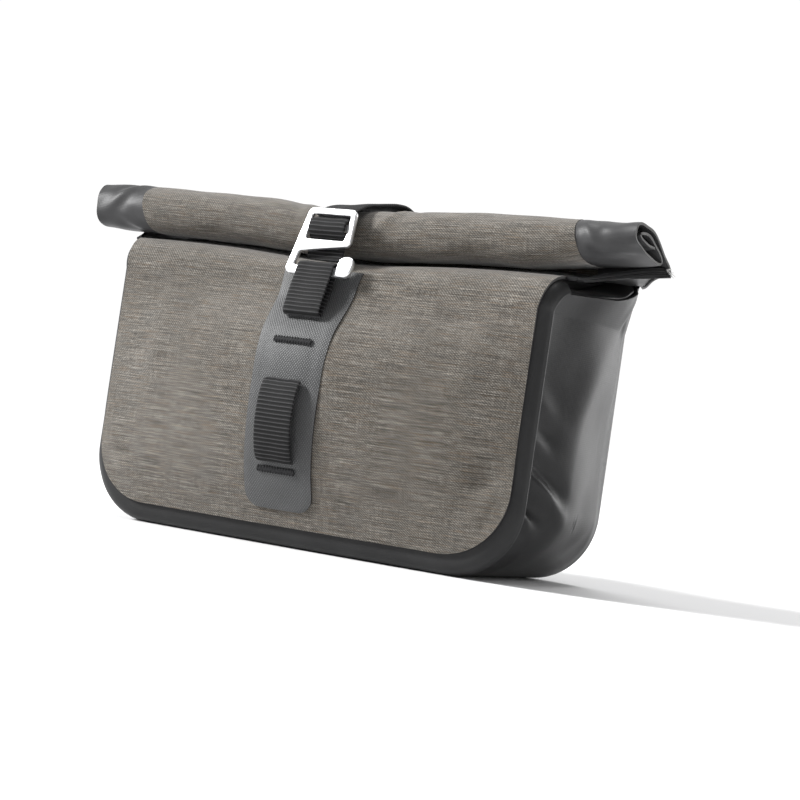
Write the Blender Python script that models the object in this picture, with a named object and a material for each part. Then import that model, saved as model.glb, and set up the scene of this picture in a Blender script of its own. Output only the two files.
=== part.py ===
"""Roll-top handlebar bag of welded coated fabric, closed with a strap and a metal hook.

The bag stands on its flat bottom.  X runs across the width, the front faces -Y, Z is up.
Sizes are in millimetres and become metres where a mesh is made.  While the bag is built,
the edge of the front panel lies in the plane y = 0; the last step moves everything so
that the origin is under the middle of the whole bag.
"""
import math
from collections import namedtuple

import bmesh
import bpy
import numpy as np

MM = 0.001

# Cloth, webbing and clearance
GAP = 0.3
FACET_ROOM = 0.45
PANEL_CLOTH = 1.2
COATED_CLOTH = 1.3
ROLL_CLOTH = 1.6
PATCH_CLOTH = 1.0
WEBBING = 1.5
WEBBING_WIDTH = 20.0

# Body
BODY_HALF_WIDTH = 120.0
BODY_DEPTH = 103.5
BODY_CORNER = 35.0
FRONT_EDGE_RADIUS = 6.2
REAR_EDGE_RADIUS = 5.3
FLANGE_WIDTH = 6.0
PANEL_CORNER = 31.5
PANEL_SIDE_INSET = 5.0
PANEL_BOTTOM_INSET = 9.6
BACK_INSET = 5.0
GUSSET_PUFF = 2.0

# Top of the body
SHOULDER_HEIGHT = 126.5
SHOULDER_RADIUS = 17.5
SHOULDER_TURN = math.radians(75)
SHOULDER_FLARE = 4.0
NECK_DEPTH = 63.0
NECK_RISE = 24.5
NECK_SLIT = 5.0
REAR_RISE = 2.0
REAR_TOP_RADIUS = 6.0
LIP_REAR_DROP = 10.5
LIP_RISE = 3.0
PLEAT_REACH = 22.0
WING_REACH = 27.0
WING_FOLD = 1.6
WING_START = 18.0
WING_TUCK = 4.2
WING_END_CLEARANCE = 7.5

# Fullness of the packed bag
BULGE = 18.4
TOP_SAG = 4.0
SAG_HALF_WIDTH = 50.0

# Roll
ROLL_HALF_LENGTH = 152.5
ROLL_SEAM = 121.0
ROLL_DEPTH = 52.0
ROLL_HEIGHT = 24.5
ROLL_REST = 0.6
ROLL_SINK = 4.0
FLATTEN_START = 95.0

# Patch and webbing on the front
PATCH_HALF_WIDTH = 18.7
PATCH_CORNER = 8.0
PATCH_BOTTOM = 17.5
PATCH_TOP_SPREAD = 3.0
FRONT_LOOP_BOTTOM = 40.0
FRONT_LOOP_DROP = 48.0
FRONT_LOOP_RISE = 4.5
TACK_HEIGHT = 3.0
TACK_RISE = 1.2
UPPER_TACK_DROP = 30.0
LOWER_TACK = 34.5
HOOK_LOOP_DROP = 16.0

# Hook
HOOK_THICKNESS = 2.5
HOOK_EDGE = 0.6
HOOK_WIDTH = 26.4
HOOK_LENGTH = 35.2
HOOK_TILT = math.radians(15)
HOOK_DROP = 3.0
HOOK_STANDOFF = 8.8
BAR_TOP = 30.6
UPPER_SLOT = 3.6
STRAP_BAR = 8.0
LOWER_SLOT = 11.6
LOWER_SLOT_END = 16.6
KNOB_WIDTH = 9.2
KNOB_TURN = 3.9

# Closure strap
STRAP_ARCH = 8.0
STRAP_RUN = 55.0
STRAP_TAIL = 9.0

# Loops for the handlebar
BAR_LOOP_PLACE = 62.0
BAR_LOOP_BORE = 33.0
BAR_LOOP_DROP = 37.0
BAR_LOOP_WALL = 2.2
BAR_LOOP_WIDTH = 25.0

# Values that follow from those above
NECK_HEIGHT = SHOULDER_HEIGHT + NECK_RISE
REAR_HEIGHT = NECK_HEIGHT + REAR_RISE
LIP_REAR_HEIGHT = REAR_HEIGHT - LIP_REAR_DROP
HOOK_LOOP_BOTTOM = SHOULDER_HEIGHT - HOOK_LOOP_DROP
UPPER_TACK = SHOULDER_HEIGHT - UPPER_TACK_DROP
FRONT_LOOP_TOP = SHOULDER_HEIGHT - FRONT_LOOP_DROP
BAR_LOOP_HEIGHT = REAR_HEIGHT - BAR_LOOP_DROP
STRAP_FOOT = REAR_HEIGHT - STRAP_RUN
PANEL_HALF_WIDTH = BODY_HALF_WIDTH - PANEL_SIDE_INSET
PANEL_TOP_HALF_WIDTH = PANEL_HALF_WIDTH + SHOULDER_FLARE
NECK_FRONT = NECK_DEPTH - NECK_SLIT / 2
NECK_REAR = NECK_DEPTH + NECK_SLIT / 2
SHOULDER_END_DEPTH = SHOULDER_RADIUS * (1 - math.cos(SHOULDER_TURN))
SHOULDER_END_HEIGHT = SHOULDER_HEIGHT + SHOULDER_RADIUS * math.sin(SHOULDER_TURN)
ROLL_FRONT = NECK_DEPTH - ROLL_DEPTH
ROLL_TOP = NECK_HEIGHT + ROLL_REST + ROLL_HEIGHT - ROLL_SINK
ROLL_BASE = ROLL_TOP - ROLL_HEIGHT
PRESSED_TOP = ROLL_TOP - TOP_SAG
HOOK_TOP = PRESSED_TOP - HOOK_DROP
HOOK_FRONT = ROLL_FRONT - HOOK_STANDOFF
STRAP_PEAK = PRESSED_TOP + STRAP_ARCH
PATCH_FACE = GAP + PATCH_CLOTH + FACET_ROOM

# How full the front is at each height, as shares of the shoulder height and of the bulge
Fullness = namedtuple("Fullness", "height share")
FULLNESS = (
    Fullness(0.00, 0.20),
    Fullness(0.08, 0.27),
    Fullness(0.17, 0.48),
    Fullness(0.29, 0.78),
    Fullness(0.45, 0.97),
    Fullness(0.60, 1.00),
    Fullness(0.74, 0.93),
    Fullness(0.81, 0.78),
    Fullness(0.88, 0.48),
    Fullness(0.94, 0.19),
    Fullness(1.00, 0.02),
    Fullness(1.10, 0.00),
)

# Dents in the front panel: place as shares of the half width and the shoulder height,
# radius and depth as shares of the panel's corner radius
Dent = namedtuple("Dent", "across height radius depth")
DENTS = (
    Dent(0.90, 0.37, 0.30, 0.075),
    Dent(0.72, 0.93, 0.60, 0.050),
    Dent(-0.55, 0.95, 0.70, 0.040),
    Dent(0.30, 0.90, 0.45, 0.045),
)

# Section of the gusset between its two edges: share of the free depth, share of the puff
Puff = namedtuple("Puff", "depth inset")
GUSSET_SECTION = (
    Puff(0.04, -0.30),
    Puff(0.12, 0.75),
    Puff(0.28, 0.40),
    Puff(0.50, -0.60),
    Puff(0.76, -0.80),
    Puff(0.95, -0.10),
)

# Crumples of the gusset near its lower front corner: place as shares of the body's depth
# and of the shoulder height, slope of the crease, half width and depth as shares of the puff
Crumple = namedtuple("Crumple", "depth height slope reach width rise")
CRUMPLES = (
    Crumple(0.22, 0.33, -0.9, 10.0, 2.4, 1.3),
    Crumple(0.30, 0.44, -1.1, 11.0, 2.8, -1.1),
    Crumple(0.17, 0.22, -0.8, 8.0, 2.2, 1.0),
    Crumple(0.34, 0.55, -1.3, 12.0, 3.2, 0.7),
)

# Spiral of the rolled mouth, from the neck over the top, down the front and inside, as
# shares of the roll's depth and height, in the middle and at its flattened ends
Turn = namedtuple("Turn", "middle_depth middle_height end_depth end_height")
SPIRAL = (
    Turn(0.990, 0.235, 1.005, 0.275),
    Turn(0.955, 0.440, 0.945, 0.400),
    Turn(0.830, 0.700, 0.810, 0.585),
    Turn(0.635, 0.900, 0.615, 0.810),
    Turn(0.415, 1.000, 0.385, 0.955),
    Turn(0.210, 0.955, 0.190, 0.990),
    Turn(0.060, 0.755, 0.055, 0.910),
    Turn(0.000, 0.470, 0.020, 0.710),
    Turn(0.040, 0.185, 0.085, 0.585),
    Turn(0.155, 0.020, 0.210, 0.515),
    Turn(0.350, 0.010, 0.385, 0.440),
    Turn(0.540, 0.070, 0.560, 0.380),
    Turn(0.710, 0.165, 0.700, 0.360),
    Turn(0.800, 0.330, 0.750, 0.445),
    Turn(0.730, 0.560, 0.655, 0.600),
    Turn(0.560, 0.745, 0.480, 0.755),
    Turn(0.365, 0.800, 0.310, 0.830),
    Turn(0.200, 0.690, 0.170, 0.815),
    Turn(0.135, 0.450, 0.135, 0.740),
    Turn(0.200, 0.235, 0.210, 0.665),
    Turn(0.400, 0.225, 0.365, 0.615),
    Turn(0.590, 0.320, 0.520, 0.585),
)

# Closure strap over the roll: share of the body's depth, share of the way from the hook's
# top to the strap's peak
Arch = namedtuple("Arch", "depth height")
STRAP_ROUTE = (
    Arch(0.145, 0.30),
    Arch(0.205, 0.49),
    Arch(0.290, 0.66),
    Arch(0.385, 0.84),
    Arch(0.475, 0.97),
    Arch(0.575, 0.98),
    Arch(0.700, 0.66),
    Arch(0.820, 0.13),
    Arch(0.915, -0.40),
)


def material(name, colour, roughness, metallic=0.0):
    """A plain surface in the colour, roughness and metallic value given."""
    made = bpy.data.materials.new(name)
    made.use_nodes = True
    shader = made.node_tree.nodes["Principled BSDF"]
    shader.inputs["Base Color"].default_value = (*colour, 1.0)
    shader.inputs["Roughness"].default_value = roughness
    shader.inputs["Metallic"].default_value = metallic
    made.diffuse_color = (*colour, 1.0)
    return made


def place(name, mesh, surface):
    """Link a mesh to the scene as one named sub-part with its material."""
    piece = bpy.data.objects.new(name, mesh)
    bpy.context.collection.objects.link(piece)
    mesh.materials.append(surface)
    return piece


def smooth_path(points, steps):
    """Points of a Catmull-Rom curve through the rows of an array, steps to a stretch."""
    points = np.asarray(points, float)
    ends = np.vstack([2 * points[0] - points[1], points, 2 * points[-1] - points[-2]])
    share = np.linspace(0, 1, steps, endpoint=False)[:, None]
    stretches = []
    for before, start, stop, after in zip(ends, ends[1:], ends[2:], ends[3:]):
        stretches.append(0.5 * (2 * start + (stop - before) * share
                                + (2 * before - 5 * start + 4 * stop - after) * share ** 2
                                + (3 * start - before - 3 * stop + after) * share ** 3))
    return np.vstack(stretches + [points[-1:]])


def sheet(name, points, thickness, surface, flip=False, offset=-1.0):
    """A cloth wall: a grid of points (rows, columns, 3) whose thickness goes inwards.

    The outer face looks along row step x column step, or the other way with flip.
    """
    rows, columns, _ = points.shape
    shape = bmesh.new()
    verts = [shape.verts.new(point * MM) for point in points.reshape(-1, 3)]
    for row in range(rows - 1):
        for column in range(columns - 1):
            corner = row * columns + column
            ring = [corner, corner + columns, corner + columns + 1, corner + 1]
            if flip:
                ring.reverse()
            shape.faces.new([verts[index] for index in ring])
    mesh = bpy.data.meshes.new(name)
    shape.to_mesh(mesh)
    shape.free()
    mesh.shade_smooth()
    piece = place(name, mesh, surface)
    wall = piece.modifiers.new("wall", "SOLIDIFY")
    wall.thickness = thickness * MM
    wall.offset = offset
    return piece


def strap(name, path, width, surface, centre=0.0, thickness=WEBBING):
    """Webbing along a path of (y, z) points, which run down the middle of its thickness."""
    grid = np.empty((len(path), 2, 3))
    grid[:, :, 0] = centre + np.array([-width / 2, width / 2])
    grid[:, :, 1:] = path[:, None, :]
    return sheet(name, grid, thickness, surface, offset=0.0)


def bulge(x, z):
    """How far the packed front stands out of the plane of its edge."""
    heights = [row.height * SHOULDER_HEIGHT for row in FULLNESS]
    shares = [row.share for row in FULLNESS]
    across = np.clip(1 - (x / PANEL_HALF_WIDTH) ** 2, 0, 1)
    out = BULGE * np.interp(z, heights, shares) * across
    for row in DENTS:
        distance = np.hypot(x - row.across * PANEL_HALF_WIDTH, z - row.height * SHOULDER_HEIGHT)
        out = out - row.depth * PANEL_CORNER * np.exp(-(distance / (row.radius * PANEL_CORNER)) ** 2)
    return out


def sag(x):
    """How far the strap presses the top of the bag down, at a place across the width."""
    return TOP_SAG * np.exp(-(x / SAG_HALF_WIDTH) ** 2)


def roof_height(depth):
    """Height of the folded top of the body between its two shoulders, before the sag."""
    return np.interp(depth, [SHOULDER_END_DEPTH, NECK_DEPTH, BODY_DEPTH],
                     [SHOULDER_END_HEIGHT, NECK_HEIGHT, REAR_HEIGHT])


def front_rows():
    """Rows of the front panel from its bottom edge to the neck.

    Each row holds the depth and height of its line, its half width, how much of the
    bulge it takes and how much of the sag.
    """
    rows = []
    for turn in np.radians([0, 18, 36, 54, 72, 90]):
        height = PANEL_BOTTOM_INSET + PANEL_CORNER * (1 - math.cos(turn))
        half = PANEL_HALF_WIDTH - PANEL_CORNER * (1 - math.sin(turn))
        rows.append((0.0, height, half, 1.0, 0.0))
    for height in np.linspace(PANEL_BOTTOM_INSET + PANEL_CORNER, SHOULDER_HEIGHT, 8)[1:]:
        rows.append((0.0, height, PANEL_HALF_WIDTH, 1.0, 0.0))
    for turn in np.linspace(0, SHOULDER_TURN, 6)[1:]:
        share = turn / SHOULDER_TURN
        depth = SHOULDER_RADIUS * (1 - math.cos(turn))
        height = SHOULDER_HEIGHT + SHOULDER_RADIUS * math.sin(turn)
        rows.append((depth, height, PANEL_HALF_WIDTH + SHOULDER_FLARE * share, 1.0, share))
    for depth in np.linspace(SHOULDER_END_DEPTH, NECK_FRONT, 4)[1:]:
        rows.append((depth, roof_height(depth), PANEL_TOP_HALF_WIDTH, 0.0, 1.0))
    return rows


def front_surface(across, rows):
    """Grid of the front panel's outer face at shares of the half width from -1 to 1."""
    grid = np.empty((len(rows), len(across), 3))
    for index, (depth, height, half, full, sagging) in enumerate(rows):
        x = across * half
        grid[index, :, 0] = x
        grid[index, :, 1] = depth - full * bulge(x, height)
        grid[index, :, 2] = height - sagging * sag(x)
    return grid


def front_point(x, z):
    """Depth of the front panel's outer face at places across and heights below the roof."""
    lines = front_rows()
    drop = np.array([row[4] for row in lines])
    heights = np.array([row[1] for row in lines])
    depths = np.array([row[0] for row in lines])
    found = []
    for place_x, place_z in zip(np.atleast_1d(x), np.atleast_1d(z)):
        lowered = heights - drop * sag(place_x)
        reached = depths - bulge(place_x, heights) * np.array([row[3] for row in lines])
        found.append(np.interp(place_z, lowered, reached))
    return np.array(found)


def make_front_panel(cloth):
    """Heather front: flat edge, full middle, and a shoulder that runs back to the neck."""
    grid = front_surface(np.linspace(-1, 1, 21), front_rows())
    return sheet("front_panel", grid, PANEL_CLOTH, cloth, flip=True)


def make_back_panel(coated):
    """Flat back with the same rounded lower corners and a roof that runs to the neck."""
    rows = []
    for turn in np.radians([0, 30, 60, 90]):
        height = BACK_INSET + PANEL_CORNER * (1 - math.cos(turn))
        half = PANEL_HALF_WIDTH - PANEL_CORNER * (1 - math.sin(turn))
        rows.append((BODY_DEPTH, height, half, 0.0))
    edge = REAR_HEIGHT - REAR_TOP_RADIUS
    for height in np.linspace(BACK_INSET + PANEL_CORNER, edge, 4)[1:]:
        rows.append((BODY_DEPTH, height, PANEL_HALF_WIDTH, 0.0))
    for turn in np.radians([30, 60, 90]):
        depth = BODY_DEPTH - REAR_TOP_RADIUS * (1 - math.cos(turn))
        height = edge + REAR_TOP_RADIUS * math.sin(turn)
        rows.append((depth, height, PANEL_HALF_WIDTH + SHOULDER_FLARE * math.sin(turn), 0.0))
    flat_end = BODY_DEPTH - REAR_TOP_RADIUS
    for share in (0.5, 1.0):
        depth = flat_end + (NECK_REAR - flat_end) * share
        height = REAR_HEIGHT + (roof_height(NECK_REAR) - REAR_HEIGHT) * share
        rows.append((depth, height, PANEL_TOP_HALF_WIDTH, share))
    across = np.linspace(-1, 1, 11)
    grid = np.empty((len(rows), len(across), 3))
    for index, (depth, height, half, sagging) in enumerate(rows):
        grid[index, :, 0] = across * half
        grid[index, :, 1] = depth
        grid[index, :, 2] = height - sagging * sag(across * half)
    return sheet("back_panel", grid, COATED_CLOTH, coated)


# Turns of the gusset's front corner, and the column of its section where the side starts
FRONT_ARC = (0, 22.5, 45, 67.5, 90)
FIRST_SIDE_COLUMN = len(FRONT_ARC)


def gusset_section(bottom):
    """Inset and depth of each point of the gusset from its front edge to its rear edge.

    bottom is 1 under the bag, where the front edge lies further in and the wall is flat,
    and 0 up its sides.
    """
    front = PANEL_CLOTH + GAP + FACET_ROOM
    rear = BODY_DEPTH - COATED_CLOTH - GAP
    edge = PANEL_SIDE_INSET + (PANEL_BOTTOM_INSET - PANEL_SIDE_INSET) * bottom
    section = [(edge + FLANGE_WIDTH, front)]
    for turn in np.radians(FRONT_ARC):
        section.append((FRONT_EDGE_RADIUS * (1 - math.sin(turn)),
                        front + FRONT_EDGE_RADIUS * (1 - math.cos(turn))))
    start = front + FRONT_EDGE_RADIUS
    stop = rear - REAR_EDGE_RADIUS
    for row in GUSSET_SECTION:
        section.append((GUSSET_PUFF * row.inset * (1 - bottom), start + (stop - start) * row.depth))
    for turn in np.radians([0, 30, 60, 90]):
        section.append((REAR_EDGE_RADIUS * (1 - math.cos(turn)),
                        stop + REAR_EDGE_RADIUS * math.sin(turn)))
    section.append((BACK_INSET + FLANGE_WIDTH, rear))
    return np.array(section)


def crumple(depth, height):
    """How far the gusset's crumples push its wall in at a depth and a height."""
    push = np.zeros_like(depth)
    for row in CRUMPLES:
        along = depth - row.depth * BODY_DEPTH
        across = height - row.height * SHOULDER_HEIGHT - row.slope * along
        push += GUSSET_PUFF * row.rise * np.exp(-(along / row.reach) ** 2 - (across / row.width) ** 2 / 2)
    return push


def gusset_half():
    """Rows of the right half of the gusset, from the middle of the bottom to its lip."""
    rows = []
    straight = BODY_HALF_WIDTH - BODY_CORNER
    outline = [(x, 0.0, 0.0, 1.0, 1.0) for x in np.linspace(0, straight, 4)]
    for turn in np.radians(np.linspace(0, 90, 8))[1:]:
        outline.append((straight + BODY_CORNER * math.sin(turn),
                        BODY_CORNER * (1 - math.cos(turn)),
                        math.sin(turn), math.cos(turn), math.cos(turn) ** 2))
    for height in np.linspace(BODY_CORNER, SHOULDER_HEIGHT, 7)[1:]:
        outline.append((BODY_HALF_WIDTH, height, 1.0, 0.0, 0.0))
    for x, z, out_x, out_z, bottom in outline:
        section = gusset_section(bottom)
        inset = section[:, 0] + crumple(section[:, 1], z) * (1 - bottom)
        row = np.stack([x - out_x * inset, section[:, 1], z + out_z * inset], 1)
        fade = np.interp(row[:, 1], [0, FRONT_EDGE_RADIUS, BODY_DEPTH / 2], [1, 1, 0])
        row[:, 1] -= bulge(row[:, 0], row[:, 2]) * fade
        rows.append(row)
    section = gusset_section(0.0)
    side = slice(FIRST_SIDE_COLUMN, None)
    for turn in np.linspace(0, SHOULDER_TURN, 5)[1:]:
        share = turn / SHOULDER_TURN
        rear_height = SHOULDER_HEIGHT + (LIP_REAR_HEIGHT - SHOULDER_HEIGHT) * share
        row = np.empty((len(section), 3))
        row[:, 0] = BODY_HALF_WIDTH + SHOULDER_FLARE * share - section[:, 0]
        row[:, 1] = SHOULDER_RADIUS * (1 - math.cos(turn)) + section[:, 1] * math.cos(turn)
        row[:, 2] = (SHOULDER_HEIGHT + SHOULDER_RADIUS * math.sin(turn)
                     - section[:, 1] * math.sin(turn))
        across = np.interp(section[side, 1], [section[FIRST_SIDE_COLUMN, 1], section[-1, 1]], [0, 1])
        row[side, 1] = row[FIRST_SIDE_COLUMN, 1] + (section[-1, 1] - row[FIRST_SIDE_COLUMN, 1]) * across
        row[side, 2] = row[FIRST_SIDE_COLUMN, 2] + (rear_height - row[FIRST_SIDE_COLUMN, 2]) * across
        rows.append(row)
    return np.array(rows)


def make_gusset(coated):
    """One strip that goes down a side, under the bag and up the other side.

    Its welded edges turn in behind the front and back panels.
    """
    right = gusset_half()
    left = right[:0:-1] * np.array([-1, 1, 1])
    return sheet("gusset", np.concatenate([left, right]), COATED_CLOTH, coated, flip=True)


def make_wing(side, label, coated):
    """The folded corner of the neck beside the roof.

    It starts behind the lip of the gusset, goes in to a crease as a pleat, comes out again
    to a tip beyond the side and returns over the top to the edge of the panels.
    """
    lip = gusset_half()[-1, FIRST_SIDE_COLUMN:]
    depth = np.linspace(WING_START, BODY_DEPTH - WING_END_CLEARANCE, 9)
    start = np.interp(depth, lip[:, 1], lip[:, 0]) - WING_TUCK
    level = np.interp(depth, lip[:, 1], lip[:, 2])
    base = BODY_HALF_WIDTH + SHOULDER_FLARE
    tip = np.interp(depth, [depth[0], NECK_DEPTH, depth[-1]],
                    [base + 2 * WING_FOLD, base + WING_REACH, base + 2 * WING_FOLD])
    top = roof_height(depth)
    low = top - 2 * WING_FOLD
    floor = level + LIP_RISE
    bow = np.sin(math.pi * np.linspace(0, 1, len(depth)))
    crease = base - PLEAT_REACH * (0.5 + 0.4 * bow)
    rows = [
        (start, level - LIP_RISE / 4),
        (start - WING_FOLD, level + LIP_RISE / 2),
        ((start + crease) / 2, floor),
        (crease + WING_FOLD, floor),
        (crease, (floor + low) / 2),
        (crease + WING_FOLD, low),
        ((crease + tip) / 2, low),
        (tip - WING_FOLD, low),
    ]
    middle = top - WING_FOLD
    for turn in np.radians([-45, 0, 45]):
        rows.append((tip - WING_FOLD * (1 - math.cos(turn)), middle + WING_FOLD * math.sin(turn)))
    rows.append((tip - WING_FOLD, top))
    rows.append((np.full_like(depth, PANEL_TOP_HALF_WIDTH + GAP + FACET_ROOM), top))
    grid = np.array([np.stack([x, depth, z], 1) for x, z in rows])
    grid[:, :, 0] *= side
    return sheet(f"corner_fold_{label}", grid, COATED_CLOTH, coated, flip=side > 0)


def roll_section(x):
    """The spiral of the roll at a place across the width, as (y, z) points."""
    flat = np.clip((abs(x) - FLATTEN_START) / (ROLL_HALF_LENGTH - FLATTEN_START), 0, 1) ** 1.6
    knots = [((1 - flat) * row.middle_depth + flat * row.end_depth,
              (1 - flat) * row.middle_height + flat * row.end_height) for row in SPIRAL]
    path = smooth_path(knots, 2)
    depth = ROLL_FRONT + ROLL_DEPTH * path[:, 0]
    height = ROLL_BASE + ROLL_HEIGHT * path[:, 1] - sag(x)
    return np.stack([depth, height], 1)


def make_roll(name, start, stop, count, cloth):
    """A stretch of the rolled mouth: one spiral sheet whose ends stay open."""
    stations = np.linspace(start, stop, count)
    grid = np.array([np.column_stack([np.full(len(roll_section(x)), x), roll_section(x)])
                     for x in stations])
    return sheet(name, grid, ROLL_CLOTH, cloth)


def on_front(x, z, lift):
    """Points at a distance from the front panel's outer face, square to its slope."""
    step = 2.0
    slope = (front_point(x, z + step) - front_point(x, z - step)) / (2 * step)
    return np.stack([x, front_point(x, z) - lift * np.sqrt(1 + slope ** 2), z], 1)


def make_patch(coated):
    """Welded patch: rounded lower corners, a little wider where it goes under the roll."""
    top = SHOULDER_HEIGHT + SHOULDER_RADIUS * math.sin(math.radians(45)) - TOP_SAG
    rows = []
    for turn in np.radians([0, 30, 60, 90]):
        rows.append((PATCH_BOTTOM + PATCH_CORNER * (1 - math.cos(turn)),
                     PATCH_HALF_WIDTH - PATCH_CORNER * (1 - math.sin(turn))))
    for share in np.linspace(0, 1, 16)[1:]:
        low = PATCH_BOTTOM + PATCH_CORNER
        rows.append((low + (top - low) * share, PATCH_HALF_WIDTH + PATCH_TOP_SPREAD * share ** 4))
    across = np.linspace(-1, 1, 5)
    grid = np.array([on_front(across * half, np.full(len(across), height), PATCH_FACE)
                     for height, half in rows])
    return sheet("front_patch", grid, PATCH_CLOTH, coated, flip=True)


def make_front_loop(webbing):
    """Webbing on the patch that stands off as a loop between its two ends."""
    share = np.linspace(0, 1, 13)
    height = FRONT_LOOP_TOP + (FRONT_LOOP_BOTTOM - FRONT_LOOP_TOP) * share
    lift = PATCH_FACE + GAP + WEBBING / 2 + FRONT_LOOP_RISE * np.sin(math.pi * share) ** 0.6
    path = on_front(np.zeros_like(height), height, lift)[:, 1:]
    return strap("front_loop", path, WEBBING_WIDTH, webbing)


def make_tack(name, height, thread):
    """A dense bar of stitches across the webbing, as one low raised strip."""
    across = np.linspace(-WEBBING_WIDTH / 2, WEBBING_WIDTH / 2, 5)
    rows = [on_front(across, np.full(len(across), level), PATCH_FACE + GAP + TACK_RISE)
            for level in (height, height + TACK_HEIGHT)]
    return sheet(name, np.array(rows), TACK_RISE, thread, flip=True)


def hook_to_world(down, back):
    """Place a point of the tilted hook, given down from its top and back from its face."""
    return (HOOK_FRONT - down * math.sin(HOOK_TILT) + back * math.cos(HOOK_TILT),
            HOOK_TOP - down * math.cos(HOOK_TILT) - back * math.sin(HOOK_TILT))


def rounded(corners, steps=5):
    """A closed outline through corners (x, y, radius), each turned with an arc."""
    outline = []
    count = len(corners)
    for index in range(count):
        here = np.array(corners[index][:2], float)
        before = np.array(corners[index - 1][:2], float) - here
        after = np.array(corners[(index + 1) % count][:2], float) - here
        before /= np.linalg.norm(before)
        after /= np.linalg.norm(after)
        half = math.acos(np.clip(before @ after, -1, 1)) / 2
        radius = corners[index][2]
        centre = here + (before + after) / np.linalg.norm(before + after) * radius / math.sin(half)
        first = here + before * radius / math.tan(half) - centre
        last = here + after * radius / math.tan(half) - centre
        for share in np.linspace(0, 1, steps):
            mix = first * (1 - share) + last * share
            outline.append(centre + mix / np.linalg.norm(mix) * radius)
    return outline


def make_hook(metal):
    """Flat metal hook: a frame with two slots for the strap and an open arm below.

    The arm leaves the frame on the left, runs across under it and ends in a raised knob
    on the right.
    """
    half = HOOK_WIDTH / 2
    slot = WEBBING_WIDTH / 2 + GAP
    arm = HOOK_LENGTH - BAR_TOP
    frame_bottom = BAR_TOP - 2 * arm
    knob = WEBBING_WIDTH / 2 + 2 * GAP
    outer = rounded([
        (-half, 0, 3.5),
        (half, 0, 3.5),
        (half + 1.6, frame_bottom - 2.2, 3.0),
        (-half + 1.0, frame_bottom + 1.8, 1.2),
        (-half, BAR_TOP, 1.0),
        (knob, BAR_TOP, 0.5),
        (knob + 0.8, frame_bottom + 3.4, KNOB_TURN * 0.9),
        (knob + KNOB_WIDTH, frame_bottom + 2.6, KNOB_TURN),
        (knob + KNOB_WIDTH - 1.4, HOOK_LENGTH, KNOB_TURN),
        (-half - 4.6, HOOK_LENGTH, 3.0),
    ])
    slots = [rounded([(-slot, top, 0.6), (slot, top, 0.6), (slot, end, 0.6), (-slot, end, 0.6)], 3)
             for top, end in ((UPPER_SLOT, STRAP_BAR), (LOWER_SLOT, LOWER_SLOT_END))]
    shape = bmesh.new()
    edges = []
    for outline in (outer, *slots):
        ring = []
        for across, down in outline:
            y, z = hook_to_world(down, 0.0)
            ring.append(shape.verts.new((across * MM, y * MM, z * MM)))
        for first, second in zip(ring, ring[1:] + ring[:1]):
            edges.append(shape.edges.new((first, second)))
    bmesh.ops.triangle_fill(shape, edges=edges, use_beauty=True)
    front = list(shape.faces)
    block = bmesh.ops.extrude_face_region(shape, geom=front)
    moved = [item for item in block["geom"] if isinstance(item, bmesh.types.BMVert)]
    back = (0.0, math.cos(HOOK_TILT) * HOOK_THICKNESS * MM, -math.sin(HOOK_TILT) * HOOK_THICKNESS * MM)
    bmesh.ops.translate(shape, verts=moved, vec=back)
    bmesh.ops.recalc_face_normals(shape, faces=list(shape.faces))
    mesh = bpy.data.meshes.new("hook")
    shape.to_mesh(mesh)
    shape.free()
    piece = place("g_hook", mesh, metal)
    edge = piece.modifiers.new("rounded_edge", "BEVEL")
    edge.width = HOOK_EDGE * MM
    edge.segments = 1
    edge.limit_method = "ANGLE"
    edge.angle_limit = math.radians(50)
    return piece


def make_hook_loop(webbing):
    """Webbing loop on the patch that goes up, round the hook's lower arm and down again."""
    half = WEBBING / 2
    clear = GAP + half
    foot = float(front_point(0.0, HOOK_LOOP_BOTTOM)[0]) - PATCH_FACE * 1.3 - clear
    knots = [(foot, HOOK_LOOP_BOTTOM), hook_to_world(HOOK_LENGTH, HOOK_THICKNESS + clear)]
    turn_radius = HOOK_THICKNESS / 2 + clear
    for turn in np.radians([0, 45, 90, 135, 180]):
        knots.append(hook_to_world(BAR_TOP + HOOK_EDGE - turn_radius * math.sin(turn),
                                   HOOK_THICKNESS / 2 + turn_radius * math.cos(turn)))
    knots.append(hook_to_world(HOOK_LENGTH, -clear - GAP))
    knots.append((foot - WEBBING - 2 * GAP, HOOK_LOOP_BOTTOM))
    return strap("hook_loop", smooth_path(knots, 3), WEBBING_WIDTH, webbing)


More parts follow.
